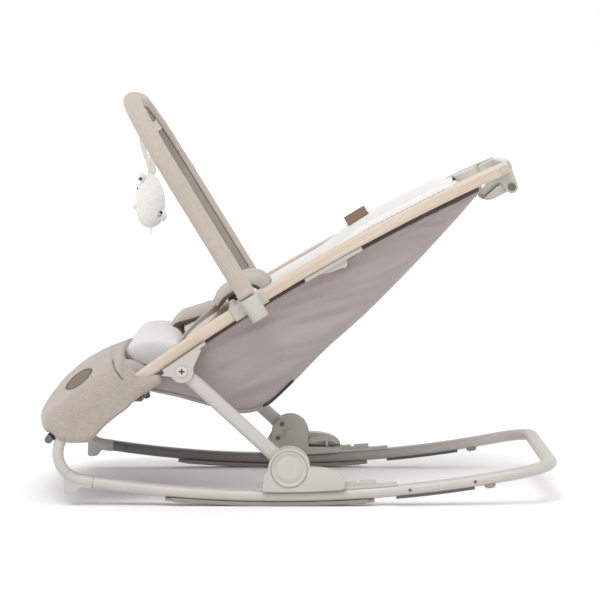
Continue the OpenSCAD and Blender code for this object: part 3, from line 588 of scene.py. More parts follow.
for side, sign in sides:
    oval = bmesh.new()
    bmesh.ops.create_grid(oval, x_segments=12, y_segments=72, size=0.5)
    for vert in oval.verts:
        share, angle = vert.co.x + 0.5, 2 * pi * (vert.co.y + 0.5)
        x, z = patch_point(angle, share)
        hit = cover_surface.ray_cast(Vector((x, sign * 0.3, z)), Vector((0, -sign, 0)))[0]
        rim = sqrt(max(0.0, 1 - ((share - 0.91) / 0.09) ** 2)) if share > 0.82 else 0.0
        vert.co = (x, hit.y + sign * (0.0004 + 0.0012 * rim), z)
    bmesh.ops.remove_doubles(oval, verts=oval.verts, dist=0.00002)
    bmesh.ops.recalc_face_normals(oval, faces=oval.faces)
    if sum(f.normal.y for f in oval.faces) * sign < 0:
        bmesh.ops.reverse_faces(oval, faces=oval.faces)
    patch = to_piece(oval, "oval_patch_" + side, dark_knit, "seat")
    patch.data.materials.append(rim_cloth)
    for face in patch.data.polygons:
        away = face.center - Vector((patch_x, 0, patch_z))
        along_way = away.x * cos(patch_turn) + away.z * sin(patch_turn)
        across_way = -away.x * sin(patch_turn) + away.z * cos(patch_turn)
        on_rim = (along_way / patch_long) ** 2 + (across_way / patch_short) ** 2 > 0.66
        face.material_index = 1 if on_rim else 0
    if side == "left":
        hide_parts("oval_patches")

# ---- Sling ----
# A bag of mauve taupe polyester hung between the rails: side panels that run in to a bottom panel, a
# seam with a hem along each lower corner, and soft pulls across the sides where the cloth is slack.

sling_cloth = cloth("sling_cloth", (0.315, 0.260, 0.252), (0.408, 0.348, 0.338), 0.0007, 0.5, 0.00012,
                    along_surface=True, roughness=0.62, Sheen_Weight=0.15, Sheen_Roughness=0.4)


def measured(line):
    """A line of points with their distances along it, which together are a route."""
    marks = [0.0]
    for p, q in zip(line, line[1:]):
        marks.append(marks[-1] + (q - p).length)
    return line, marks


def through(points, per_span=16):
    """A smooth line through points, as closely spaced points with their distances along it."""
    points = [Vector(p) for p in points]
    ends = [points[0] * 2 - points[1]] + points + [points[-1] * 2 - points[-2]]
    line = []
    for a, b, c, d in zip(ends, ends[1:], ends[2:], ends[3:]):
        for i in range(per_span):
            t = i / per_span
            line.append(0.5 * (2 * b + (c - a) * t + (2 * a - 5 * b + 4 * c - d) * t * t
                               + (3 * b - a - 3 * c + d) * t**3))
    return measured([*line, points[-1]])


def side_route(*points):
    """A smooth route in the side plane, through points in millimetres."""
    return through([(x, 0, z) for x, z in mm(*points)])


def along(route, share):
    """Point and direction at a share of a route's length."""
    line, marks = route
    goal = max(0.0, min(1.0, share)) * marks[-1]
    low, high = 0, len(marks) - 1
    while high - low > 1:
        mid = (low + high) // 2
        low, high = (mid, high) if marks[mid] <= goal else (low, mid)
    part = (goal - marks[low]) / max(1e-9, marks[high] - marks[low])
    return line[low].lerp(line[high], part), (line[high] - line[low]).normalized()


def height_at(route, x):
    """Height of a route that runs towards the head, with x in metres."""
    line = route[0]
    for p, q in zip(line, line[1:]):
        if q.x >= x:
            return p.z + (q.z - p.z) * (x - p.x) / max(1e-9, q.x - p.x)
    return line[-1].z


def cloth_grid(columns, rows, shape, size):
    """A grid whose corners go where shape(u, v) says, with a UV map in metres for its weave."""
    grid = bmesh.new()
    bmesh.ops.create_grid(grid, x_segments=columns, y_segments=rows, size=0.5)
    shares = {v.index: (v.co.x + 0.5, v.co.y + 0.5) for v in grid.verts}
    uv = grid.loops.layers.uv.new("UVMap")
    for face in grid.faces:
        for loop in face.loops:
            u, v = shares[loop.vert.index]
            loop[uv].uv = (u * size[0], v * size[1])
    for vert in grid.verts:
        vert.co = shape(*shares[vert.index])
    return grid


sling_front, sling_head = -0.216, 0.262
lower_line = side_route((-216, 160), (-190, 151.5), (-162, 144.5), (-128, 134), (-103, 126), (-78, 121.8),
                        (-56, 124.5), (-36, 134.5), (-10, 158), (41, 208), (108, 270), (175, 338), (228, 396),
                        (262, 437))


def lower_z(x):
    """Height of the sling's lower corner, with x in metres."""
    return height_at(lower_line, x)


def sling_section(x, t):
    """Half a cross-section of the sling: t runs from the rail down the side and in to the middle."""
    top_y = rail_y(x) - 0.012 - 0.010 * (1 - ease(x, -0.214, -0.175))
    top_z = rail_z(x) + 0.001
    low = lower_z(x)
    depth = top_z - low
    corner = Vector((x, top_y - min(0.030, 0.16 * depth), low + 0.002))
    top = Vector((x, top_y, top_z))
    middle = Vector((x, 0, low - 0.006 * ease(depth, 0.03, 0.10)))
    side_run, floor_run = (corner - top).length, (middle - corner).length
    soft = min(0.026, 0.45 * side_run)
    s = t * (side_run + floor_run)
    if abs(s - side_run) < soft:
        k = (s - side_run + soft) / (2 * soft)
        first = corner + (top - corner).normalized() * soft
        last = corner + (middle - corner).normalized() * soft
        return first * (1 - k) ** 2 + corner * 2 * k * (1 - k) + last * k * k
    if s < side_run:
        return top.lerp(corner, s / side_run)
    return corner.lerp(middle, (s - side_run) / floor_run)


def pulls(x, z, depth_share):
    """Soft pulls in the sling's sides: long shallow ridges that rise a little towards the head."""
    ridge = z - 0.30 * x + 0.014 * noise.noise(Vector((x * 9, z * 9, 1.7)))
    wave = noise.noise(Vector((x * 5.0, ridge * 36.0, 4.2)))
    wave += 0.55 * (0.35 - abs(noise.noise(Vector((x * 7.0, ridge * 62.0, 8.1)))) * 1.6)
    wave += 0.25 * noise.noise(Vector((x * 16.0, ridge * 130.0, 3.3)))
    return (0.0088 * wave * ease(depth_share, 0.04, 0.30) * (1 - ease(depth_share, 0.80, 1.0))
            * ease(x, -0.20, -0.05))


def sling_place(u, v):
    """The sling's cloth, from the left rail (v = 0) to the right one (v = 1)."""
    x = sling_front + (sling_head - sling_front) * u
    t = 1 - abs(2 * v - 1)
    place = sling_section(x, t)
    sign = -1 if v < 0.5 else 1
    top_z, low = rail_z(x), lower_z(x)
    down = (top_z - place.z) / max(0.01, top_z - low)
    bulge = 0.005 * sin(pi * max(0.0, min(1.0, down))) * ease(top_z - low, 0.04, 0.11)
    on_side = 1 - ease(t, 0.42, 0.62)
    push = (bulge + pulls(x, place.z * (1 if sign < 0 else 1.03), down)) * on_side
    sag = -0.004 * (1 - on_side) * noise.noise(Vector((x * 14, place.y * 10, 2.0)))
    return Vector((x, sign * (place.y + push), place.z + sag))


sling = to_piece(cloth_grid(150, 110, sling_place, (0.56, 0.62)), "sling_bag", sling_cloth)
give_wall(sling, 0.0016, 0)
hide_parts("sling")
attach(sling, "seat")


def tape_pair(name, columns, rows, place, material, thickness):
    """A tape on each side of the seat. place(sign, u, w) lays it: u runs along it, and w from -0.5 to 0.5
    across it."""
    both = bmesh.new()
    for sign in (-1, 1):
        tape = bmesh.new()
        bmesh.ops.create_grid(tape, x_segments=columns, y_segments=rows, size=0.5)
        for vert in tape.verts:
            vert.co = place(sign, vert.co.x + 0.5, vert.co.y)
        join(both, tape)
    uv = both.loops.layers.uv.new("UVMap")
    for face in both.faces:
        for loop in face.loops:
            loop[uv].uv = (loop.vert.co.x * 1.2, loop.vert.co.z)
    tapes = to_piece(both, name, material, "seat")
    give_wall(tapes, thickness, 0)
    return tapes


def binding(name, first_x, last_x, share_at, width, proud, material, count=110):
    """A flat tape that follows the sling at a share of its cross-section, on both sides."""

    def place(sign, u, w):
        x = first_x + (last_x - first_x) * u
        share = share_at(x)
        v = share / 2 if sign < 0 else 1 - share / 2
        u_sling = (x - sling_front) / (sling_head - sling_front)
        here = sling_place(u_sling, v)
        ahead = sling_place(u_sling, v + 0.004) - sling_place(u_sling, v - 0.004)
        onward = sling_place(min(1, u_sling + 0.004), v) - sling_place(max(0, u_sling - 0.004), v)
        out = ahead.cross(onward).normalized()
        if out.y * sign < 0 and abs(out.y) > abs(out.z) or abs(out.z) >= abs(out.y) and out.z > 0:
            out = -out
        across = ahead.normalized() * (-1 if sign > 0 else 1)
        crown = proud * (1 - (2 * abs(w)) ** 4 * 0.45)
        return here + across * w * width + out * crown

    return tape_pair(name, count, 4, place, material, 0.0012)


def corner_share(x):
    """Where the lower corner lies along the cross-section."""
    top_y = rail_y(x) - 0.012
    depth = rail_z(x) + 0.001 - lower_z(x)
    side_run = sqrt(depth**2 + min(0.030, 0.16 * depth) ** 2)
    return side_run / (side_run + top_y - min(0.030, 0.16 * depth))


def below_rail(x, distance):
    """Where a distance down from the rail lies along the cross-section."""
    return distance / (rail_z(x) - lower_z(x) + rail_y(x))


# Painted shadow: a near black brown cloth for strips that stand in for the shade under the rails.
painted_shadow_cloth = cloth("painted_shadow_cloth", (0.045, 0.034, 0.028), (0.09, 0.07, 0.058), 0.0012, 0.5, 0.0002,
                   along_surface=True, roughness=0.85)
webbing_cloth = cloth("black_webbing", (0.018, 0.016, 0.015), (0.06, 0.055, 0.05), 0.0014, 0.8, 0.0005,
                      along_surface=True, roughness=0.8)
sling_hem = binding("sling_hem", -0.212, -0.046, lambda x: corner_share(x) + 0.012, 0.0075, 0.0022,
                    sling_cloth)
sling_top_hem = binding("sling_top_hem", -0.195, 0.255, lambda x: below_rail(x, 0.0225), 0.0080, 0.0012,
                        sling_cloth, count=150)
# The strip just under each rail is painted shadow, for the shaded gap between the rail and the sling.
rail_shadow_strip = binding("sling_rail_shadow_strip", -0.185, 0.257, lambda x: below_rail(x, 0.0138), 0.0084, 0.0020,
                    painted_shadow_cloth, count=150)
webbing = binding("sling_webbing", -0.046, -0.004, lambda x: corner_share(x) + 0.004, 0.0036, 0.0030,
                  webbing_cloth)

# ---- Seat lining ----
# Pale grey jersey that runs from rail to rail under the pad, gathered along the rails at the head end.

lining_cloth = cloth("lining_jersey", (0.60, 0.59, 0.58), (0.80, 0.79, 0.775), 0.0010, 0.30, 0.00018,
                     roughness=0.92, Sheen_Weight=0.3, Sheen_Roughness=0.5)
pad_under = side_route((-196, 196), (-150, 190), (-96, 184), (-60, 186), (-38, 200), (40, 246), (150, 338),
                       (240, 436))


def lining_place(u, v):
    """From the left rail down to the pad's edge, under it, and up to the right rail. At the head end it
    swells above the rails, folds over their tops and is gathered along them."""
    x = -0.176 + 0.412 * u
    under = height_at(pad_under, x)
    over = ease(x, 0.03, 0.10) * (1 - 0.7 * ease(x, 0.205, 0.236))
    half = rail_y(x) - 0.0086 + 0.0095 * over
    y = (2 * v - 1) * half
    share = abs(y) / half
    top = rail_z(x) + 0.0040 + 0.0145 * over
    edge = rail_z(x) + 0.0040 + 0.0072 * over
    z = under + (top - under) * ease(share, 0.60, 0.90) + (edge - top) * ease(share, 0.90, 1.0)
    gather = sin(x * 950 + share * 150 + 3 * noise.noise(Vector((x * 30, y * 8, 0))))
    gather *= ease(share, 0.925, 0.965)
    return Vector((x, y, z + 0.0010 * gather * ease(x, 0.02, 0.08)))


lining_sheet = to_piece(cloth_grid(320, 110, lining_place, (0.5, 0.4)), "seat_lining", lining_cloth, "seat")
give_wall(lining_sheet, 0.0015)


def rail_tapes(name, first_x, last_x, low, high, material):
    """Tapes along the inner faces of both rails, between two heights low(x) and high(x) from their middle."""

    def place(sign, u, w):
        x = first_x + (last_x - first_x) * u
        height = low(x) + (high(x) - low(x)) * (w + 0.5)
        return x, sign * (rail_y(x) - 0.0091), rail_z(x) + height

    tapes = tape_pair(name, 60, 3, place, material, 0.0014)
    return tapes


edge_cloth = cloth("edge_tape", (0.52, 0.495, 0.455), (0.68, 0.65, 0.605), 0.0010, 0.4, 0.00015,
                   along_surface=True)
edge_tapes = rail_tapes("lining_edge_tape", 0.222, 0.2975, lambda x: 0.0042 - 0.0050 * ease(x, 0.255, 0.290),
                        lambda x: 0.0112 - 0.0010 * ease(x, 0.270, 0.297), edge_cloth)
# Painted shadow: dark strips on the rails' inner faces at the head end, for the shaded slot below the
# lining's edge.
under_rail_shadows = rail_tapes("lining_under_shadow_strip", 0.230, 0.290, lambda x: -0.0060,
                         lambda x: 0.0046 - 0.0050 * ease(x, 0.255, 0.290), painted_shadow_cloth)

# ---- Seat pad ----
# Fibre filled jersey cushion: a plump roll at the foot end, a thin seat and back, piped round the edge.

pad_cloth = cloth("pad_jersey", (0.50, 0.492, 0.48), (0.68, 0.672, 0.655), 0.0010, 0.30, 0.00018,
                  roughness=0.92, Sheen_Weight=0.3, Sheen_Roughness=0.5)


def stuffed(shape, voxel, pressure, cap, smoothing):
    """Blows a closed shape up as cloth, holds each point's movement to the cap, and returns the skin."""
    skin = even_skin(shape, voxel, smoothing)
    start = [v.co.copy() for v in skin.verts]
    mesh = bpy.data.meshes.new("stuffing")
    skin.to_mesh(mesh)
    cushion = in_scene("stuffing", mesh)
    sewn = cushion.modifiers.new("cloth", "CLOTH")
    sewn.settings.quality = 5
    sewn.settings.mass = 0.3
    sewn.settings.tension_stiffness = 15
    sewn.settings.compression_stiffness = 15
    sewn.settings.shear_stiffness = 5
    sewn.settings.bending_stiffness = 0.5
    sewn.settings.use_pressure = True
    sewn.settings.uniform_pressure_force = pressure
    sewn.settings.effector_weights.gravity = 0
    sewn.collision_settings.use_collision = False
    scene = bpy.context.scene
    for step in range(1, 21):
        scene.frame_set(step)
    blown = cushion.evaluated_get(bpy.context.evaluated_depsgraph_get()).to_mesh()
    for vert, was in zip(skin.verts, start):
        move = blown.vertices[vert.index].co - was
        vert.co = was + move * min(1.0, cap / max(1e-9, move.length))
    bpy.data.objects.remove(cushion)
    scene.frame_set(1)
    return skin


def squarish(value, power):
    """A sine or cosine bent so that the oval it draws has fuller corners."""
    return copysign(abs(value) ** power, value)


pad_reach = 0.158
roll = [(-0.203 + 0.0400 * squarish(cos(radians(a)), 0.74), 0.2080 + 0.0285 * squarish(sin(radians(a)), 0.74))
        for a in range(15, 201, 10)]
pad_outline = roll + mm((-230, 194), (-213, 187), (-196, 187)) + arc(-70, 222, 45, 240, 305, 8) + mm(
    (40, 240), (150, 330), (238, 421), (246, 449), (238, 453.5), (140, 366.5), (30, 275.5)) + arc(
    -70, 246, 42, 300, 235, 8) + mm((-150, 204))
cushion = slab(pad_outline, -pad_reach, pad_reach)
half_widths = side_route((-262, 102), (-243, 119), (-222, 135), (-180, 152), (-60, 150), (40, 136),
                         (100, 134), (200, 128), (232, 112), (256, 84))
bmesh.ops.subdivide_edges(cushion, edges=cushion.edges, cuts=1, use_grid_fill=True)
for step in range(-15, 16):
    cut(cushion, (0.016 * step, 0, 0), (1, 0, 0))
for vert in cushion.verts:
    vert.co.y *= height_at(half_widths, vert.co.x) / pad_reach
    on_roll = 1 - ease(vert.co.x, -0.20, -0.15)
    vert.co.z -= 0.005 * (vert.co.y / 0.13) ** 2 * on_roll * ease(vert.co.z, 0.19, 0.23)
    vert.co.y *= 1 - 0.12 * min(1.0, ((vert.co.z - 0.207) / 0.030) ** 2) * on_roll
cushion = stuffed(cushion, 0.005, 4, 0.005, smoothing=4)
bmesh.ops.recalc_face_normals(cushion, faces=cushion.faces)
quilt_lines, quilt_lean = (-0.030, 0.075, 0.165), (0.82, 0, 0.57)
for across in quilt_lines:
    cut(cushion, (across, 0, rail_z(across)), quilt_lean)
cushion.normal_update()
for vert in cushion.verts:
    groove = 0.0
    for across in quilt_lines:
        away = abs((vert.co.x - across) * quilt_lean[0] + (vert.co.z - rail_z(across)) * quilt_lean[2])
        groove = max(groove, 1 - min(1.0, away / 0.009))
    if vert.normal.z > 0.2:
        vert.co -= vert.normal * 0.0035 * groove**0.7
    vert.co += vert.normal * 0.0012 * noise.noise(vert.co * 35)
seat_pad = to_piece(cushion, "seat_cushion", pad_cloth)
pad_surface = BVHTree.FromPolygons([v.co for v in seat_pad.data.vertices],
                                   [f.vertices[:] for f in seat_pad.data.polygons])
softer = seat_pad.modifiers.new("softer", "SUBSURF")
softer.levels = softer.render_levels = 1
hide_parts("seat_pad")
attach(seat_pad, "seat")

pad_piping = cloth("pad_piping", (0.30, 0.29, 0.275), (0.42, 0.41, 0.395), 0.0009, 0.4, 0.0002)
pad_seam = side_route((236, 437), (150, 352), (40, 255), (-10, 226), (-60, 204), (-100, 195), (-150, 195),
                      (-190, 191), (-213, 192), (-227, 197), (-235, 204), (-238, 212), (-236, 220))
for side, sign in sides:
    places = []
    for step in range(141):
        spot = along(pad_seam, step / 140)[0]
        hit = pad_surface.ray_cast(Vector((spot.x, sign * 0.3, spot.z)), Vector((0, -sign, 0)))[0]
        if hit:
            places.append(hit)
    sewn_cord("pad_piping_" + side, places, 0.0021, pad_piping, "seat")

# ---- Harness ----
# Padded taupe pieces with dark piping round their edges: the crotch pad that stands up from the seat, and
# two shoulder pads that arch over it. Flat webbing runs up the back, and thin pale wings with a strap on
# them reach out to the hips.

harness_cloth = cloth("harness_cloth", (0.36, 0.315, 0.277), (0.525, 0.475, 0.425), 0.0010, 0.6, 0.00025,
                      Sheen_Weight=0.25, Sheen_Roughness=0.5)
piping_cloth = cloth("piping_cloth", (0.085, 0.064, 0.05), (0.15, 0.115, 0.092), 0.0009, 0.5, 0.0002,
                     roughness=0.8)


def strip_piece(name, route, width, top, under, middle_y, material, body, segments=60, square=0.8,
                round_ends=True, under_material=None):
    """A padded strip swept along a route in the side plane: top(u) high above it and under(u) deep below."""
    strip = bmesh.new()
    bmesh.ops.create_grid(strip, x_segments=segments, y_segments=36, size=0.5)
    for face in strip.faces:
        face.material_index = 1 if under_material and face.calc_center_median().y > 0 else 0
    for vert in strip.verts:
        u, v = vert.co.x + 0.5, vert.co.y + 0.5
        spot, way = along(route, u)
        out = Vector((-way.z, 0, way.x))
        near_end = min(1.0, min(u, 1 - u) / 0.10)
        close = sqrt(max(0.0, 1 - (1 - near_end) ** 2)) if round_ends else 1.0
        c, s = cos(2 * pi * v), sin(2 * pi * v)
        y = squarish(c, square) * width / 2 * (0.86 + 0.14 * close)
        n = squarish(s, 0.8) * (top(u) if s > 0 else under(u)) * max(0.12, close)
        puff = 0.0007 * noise.noise(Vector((u * 9, y * 60, n * 60 + middle_y * 40)))
        vert.co = spot + Vector((0, middle_y + y, 0)) + out * (n + puff)
    bmesh.ops.remove_doubles(strip, verts=strip.verts, dist=0.00002)
    bmesh.ops.holes_fill(strip, edges=strip.edges, sides=0)
    bmesh.ops.recalc_face_normals(strip, faces=strip.faces)
    piece = to_piece(strip, name, material, body)
    if under_material:
        piece.data.materials.append(under_material)
    return piece


def piping(name, route, width, middle_y, radius, material, body):
    """A thin cord sewn into the seam all round a padded strip."""
    near = [along(route, i / 60)[0] + Vector((0, middle_y - width / 2, 0)) for i in range(1, 60)]
    far = [along(route, i / 60)[0] + Vector((0, middle_y + width / 2, 0)) for i in range(59, 0, -1)]
    return sewn_cord(name, near + far, radius, material, body, closed=True)


def crotch_dome(u):
    """Height of the crotch pad's dome over its seam: slight where it stands, full where it lies."""
    return 0.0050 + 0.0115 * ease(u, 0.25, 0.46) - 0.0040 * ease(u, 0.75, 1.0)


def crotch_under(u):
    """Depth of the crotch pad under its seam: full where it stands, thin towards its end."""
    return 0.0145 - 0.0075 * ease(u, 0.26, 0.44) - 0.0040 * ease(u, 0.62, 0.95)


# Painted shade: a darker copy of the harness cloth for the pads' undersides, which lie in shade.
painted_shade_cloth = cloth("painted_shade_cloth", (0.125, 0.104, 0.088), (0.20, 0.172, 0.148), 0.0010, 0.6, 0.00025)
crotch_route = side_route((-163.5, 209), (-169, 218), (-175.5, 229), (-176.5, 237), (-170, 242),
                          (-157, 245.5), (-133, 252.7), (-114, 260), (-100, 266))
crotch_pad = strip_piece("crotch_pad_soft", crotch_route, 0.058, crotch_dome, crotch_under, 0.0,
                         harness_cloth, "seat", under_material=painted_shade_cloth)
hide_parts("crotch_pad")
piping("crotch_piping", crotch_route, 0.0585, 0.0, 0.0013, piping_cloth, "seat")


def shoulder_dome(u):
    """Height of a shoulder pad's dome over its seam."""
    return 0.0120 + 0.0045 * ease(u, 0.25, 0.6)


shoulder_route = side_route((-111, 268), (-103.5, 279.5), (-91, 289), (-76, 297), (-61, 300), (-51.5, 296),
                            (-47, 287))
back_route = side_route((-44, 288), (-32, 276), (-18, 266), (-4, 263), (10, 266.5), (28, 281.5), (70, 317),
                        (118, 356))
wing_cloth = cloth("wing_cloth", (0.50, 0.45, 0.39), (0.68, 0.62, 0.55), 0.0010, 0.5, 0.0002)
for side, sign in sides:
    shoulder_pad = strip_piece("shoulder_pad_" + side, shoulder_route, 0.041, shoulder_dome, lambda u: 0.0045,
                               sign * 0.053, harness_cloth, "seat", under_material=painted_shade_cloth)
    piping("shoulder_piping_" + side, shoulder_route, 0.0415, sign * 0.053, 0.0012, piping_cloth, "seat")
    if side == "left":
        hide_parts("harness_straps")
    back_strap = strip_piece("back_strap_" + side, back_route, 0.025, lambda u: 0.0013, lambda u: 0.0013,
                             sign * 0.053, harness_cloth, "seat", segments=90, square=0.25, round_ends=False)
    hip = bmesh.new()
    bmesh.ops.create_grid(hip, x_segments=40, y_segments=8, size=0.5)
    for vert in hip.verts:
        u, w = vert.co.x + 0.5, vert.co.y
        line = Vector((-0.158, sign * 0.140, 0.230)).lerp(Vector((-0.106, sign * 0.036, 0.268)), u)
        vert.co = line + Vector((0.010 * w, sign * -0.010 * w, 0.015 * w + 0.004 * sin(pi * u)))
    wing = bmesh.new()
    bmesh.ops.create_grid(wing, x_segments=30, y_segments=24, size=0.5)
    for vert in wing.verts:
        u, w = vert.co.x + 0.5, vert.co.y + 0.5
        inner = Vector((-0.1610, sign * 0.024, 0.2370)).lerp(Vector((-0.0920, sign * 0.024, 0.2720)), u)
        outer = Vector((-0.1500, sign * 0.150, 0.2230)).lerp(Vector((-0.0760, sign * 0.150, 0.2680)), u)
        sag = 0.007 * sin(pi * w) + 0.0012 * sin(w * 19 + u * 5)
        vert.co = inner.lerp(outer, w) + Vector((0, 0, -sag))
    for name, shape, material, thick in (("hip_wing_", wing, wing_cloth, 0.0018),
                                         ("hip_strap_", hip, harness_cloth, 0.0022)):
        piece = to_piece(shape, name + side, material, "seat")
        give_wall(piece, thick)

# ---- Leather tag ----
# A small folded tab of brown leather sewn to the far edge of the pad, left blank.

leather, tree, shader = finish("brown_leather", 0.55)
place = add(tree, "TexCoord").outputs["Object"]
cells = add(tree, "TexVoronoi", {"Vector": place, "Scale": 1100.0}).outputs["Distance"]
hide = grain(tree, place, 160.0, 4.0)
tree.links.new(blend_colours(tree, hide, (0.115, 0.066, 0.042), (0.24, 0.15, 0.10)),
               shader.inputs["Base Color"])
tree.links.new(stretch(tree, hide, 0.3, 0.7, 0.45, 0.65), shader.inputs["Roughness"])
tree.links.new(bump(tree, cells, 0.4, 0.0003), shader.inputs["Normal"])
tag = to_piece(clean_copy("tag"), "leather_tag", leather, "seat", smooth=False)
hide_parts("tag")

# ---- Toy bar ----
# A bent tube in a padded melange sleeve that is closed by a seam along its inner side; the sleeve ends in
# a hem at each socket and creases a little round the bends.

sleeve_cloth = cloth("sleeve_cloth", (0.368, 0.310, 0.264), (0.565, 0.50, 0.434), 0.0011, 0.6, 0.0003,
                     along_surface=True, Sheen_Weight=0.25, Sheen_Roughness=0.5)
# Painted shade: the sleeve cloth is overpainted darker over the part of its round next to the seam, on one
# side of it.
tree = sleeve_cloth.node_tree
round_way = add(tree, "SeparateXYZ", {0: add(tree, "TexCoord").outputs["UV"]}).outputs["Y"]
overpaint(sleeve_cloth, stretch(tree, round_way, 0.0235, 0.0300, 0.50, 0.0), (0.17, 0.142, 0.118))
lean, bar_half, straight, bend = radians(31.5), 0.206, 0.317, 0.130
foot = Vector((-0.066, 0, 0.293))
up = Vector((-sin(lean), 0, cos(lean)))


def bar_route(down):
    """The bar's centre line from the left socket over the top to the right one."""
    corner = [(-(bar_half - bend) - bend * cos(radians(a)), straight - bend + bend * sin(radians(a)))
              for a in range(0, 91, 6)]
    left = [(-bar_half, -down + (straight - bend + down) * i / 12) for i in range(12)] + corner
    right = [(-y, z) for y, z in reversed(left)]
    flat = left + [((bar_half - bend) * (i / 6 - 1), straight) for i in range(1, 12)] + right
    return measured([foot + up * z + Vector((0, y, 0)) for y, z in flat])


sleeve_line = bar_route(-0.0005)
sleeve_length = sleeve_line[1][-1]
side_way = up.cross(Vector((0, 1, 0))).normalized()
seam_turn = radians(18)


def sleeve_place(u, v, proud=0.0):
    """The sleeve's skin: u runs along the bar, v round it from the seam; proud lifts things off it."""
    spot, way = along(sleeve_line, u)
    inward = side_way.cross(way).normalized()
    if inward.dot(foot + up * 0.12 - spot) < 0:
        inward = -inward
    angle = 2 * pi * v - seam_turn
    run = u * sleeve_length
    off_seam = min(v, 1 - v) * 2 * pi * 0.013
    radius = 0.0129 - 0.0013 * max(0.0, 1 - (off_seam / 0.0016) ** 2)
    radius += 0.0005 * max(0.0, 1 - abs(off_seam - 0.003) / 0.002)
    turned = ease(abs(u - 0.5), 0.14, 0.20) * (1 - ease(abs(u - 0.5), 0.30, 0.38))
    radius += turned * 0.0006 * noise.noise(Vector((run * 70, cos(angle) * 1.4, sin(angle) * 1.4)))
    radius += 0.00035 * noise.noise(Vector((run * 28, cos(angle) * 2, sin(angle) * 2 + 7)))
    end = min(run, sleeve_length - run)
    radius -= 0.0011 * (1 - ease(end, 0.0, 0.0022)) + 0.0006 * max(0.0, 1 - abs(end - 0.0095) / 0.0012)
    radius += 0.0004 * (1 - ease(end, 0.008, 0.010)) + proud
    return spot + inward * radius * cos(angle) + side_way * radius * sin(angle)


sleeve_shape = cloth_grid(300, 56, sleeve_place, (sleeve_length, 0.0817))
bmesh.ops.remove_doubles(sleeve_shape, verts=sleeve_shape.verts, dist=0.00002)
bmesh.ops.holes_fill(sleeve_shape, edges=sleeve_shape.edges, sides=0)
bmesh.ops.recalc_face_normals(sleeve_shape, faces=sleeve_shape.faces)
sleeve = to_piece(sleeve_shape, "bar_sleeve", sleeve_cloth, "bar")
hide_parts("toy_bar")


def skin_strip(name, first, last, half_turn, proud, material, count, middle=0.0):
    """A strip that lies on the sleeve, between two shares of its length; middle turns it off the seam."""
    strip = bmesh.new()
    bmesh.ops.create_grid(strip, x_segments=count, y_segments=6, size=0.5)
    for vert in strip.verts:
        v = middle + 2 * half_turn * vert.co.y
        vert.co = sleeve_place(first + (last - first) * (vert.co.x + 0.5), v % 1.0, proud)
    piece = to_piece(strip, name, material, "bar")
    give_wall(piece, 0.0007, 0)


skin_strip("sleeve_seam", 0.02, 0.98, 0.009, 0.0005, piping_cloth, 280)


def rod(shape, place, turn, radius, length, segments, top_radius=None):
    """Adds a round rod to a shape, from its middle and its turn."""
    bmesh.ops.create_cone(shape, cap_ends=True, cap_tris=False, segments=segments, radius1=radius,
                          radius2=top_radius or radius, depth=length, matrix=Matrix.Translation(place) @ turn)


tube_ends = bmesh.new()
turn_up = up.to_track_quat("Z", "X").to_matrix().to_4x4()
for sign in (-1, 1):
    rod(tube_ends, foot + Vector((0, sign * bar_half, 0)) - up * 0.0135, turn_up, 0.008, 0.031, 48)
to_piece(tube_ends, "bare_tube_ends", tube_coat, "bar")

# ---- Hanging toy ----
# A plain egg-shaped plush with two small round ears, stubby wings and a tail cord, hung on a ribbon that
# is looped over an eyelet under the bar.

plush, tree, shader = finish("short_plush", 0.95, Sheen_Weight=0.6, Sheen_Roughness=0.45)
place = add(tree, "TexCoord").outputs["Object"]
pile = grain(tree, place, 900.0, 4.0, Roughness=0.7)
tufts = grain(tree, place, 210.0, 3.0)
fleece = blend_colours(tree, stretch(tree, tufts, 0.3, 0.7), (0.70, 0.685, 0.655), (0.79, 0.775, 0.745))
tree.links.new(fleece, shader.inputs["Base Color"])
tree.links.new(stretch(tree, pile, 0.3, 0.7, 0.85, 1.0), shader.inputs["Roughness"])
tufted = bump(tree, tufts, 0.4, 0.0005)
tree.links.new(bump(tree, pile, 0.6, 0.0005, Normal=tufted), shader.inputs["Normal"])
pin = Vector((-0.2195, 0, 0.544))


def ball(shape, place, size, turn=0.0, segments=32, rings=20):
    """Adds a squashed ball to a shape, turned in the side plane."""
    matrix = Matrix.Translation(place) @ Matrix.Rotation(turn, 4, "Y") @ Matrix.Diagonal((*size, 1))
    return bmesh.ops.create_uvsphere(shape, u_segments=segments, v_segments=rings, radius=1.0,
                                     matrix=matrix)["verts"]


toy_middle = Vector((-0.2118, 0, 0.4178))
toy_body = bmesh.new()
for vert in ball(toy_body, Vector((0, 0, 0)), (1, 1, 1), segments=64, rings=44):
    height = vert.co.z
    wide = 0.0224 * (1 - 0.16 * max(0.0, height) ** 1.5 + 0.22 * max(0.0, -height) ** 3)
    tall = 0.0405 if height > 0 else 0.0390
    vert.co = toy_middle + Vector((vert.co.x * wide, vert.co.y * wide, height * tall))
    vert.co += (vert.co - toy_middle).normalized() * 0.0007 * noise.noise(vert.co * 130)
    across = abs(vert.co.z - toy_middle.z + 0.005 - 0.25 * (vert.co.x - toy_middle.x))
    vert.co.x += (toy_middle.x - vert.co.x) * 0.05 * max(0.0, 1 - across / 0.0018)
    vert.co.y *= 1 - 0.05 * max(0.0, 1 - across / 0.0018)
for sign in (-1, 1):
    ball(toy_body, toy_middle + Vector((-0.0128, sign * 0.0090, 0.0355)), (0.0066, 0.0050, 0.0066))
    ball(toy_body, toy_middle + Vector((0.0176, sign * 0.0100, -0.0205)), (0.0064, 0.0060, 0.0088),
         turn=radians(-14))
    ball(toy_body, toy_middle + Vector((-0.0218, sign * 0.0060, -0.0060)), (0.0042, 0.0040, 0.0052))
toy_skin = to_piece(toy_body, "plush_toy", plush, "hanging_toy")
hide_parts("toy")

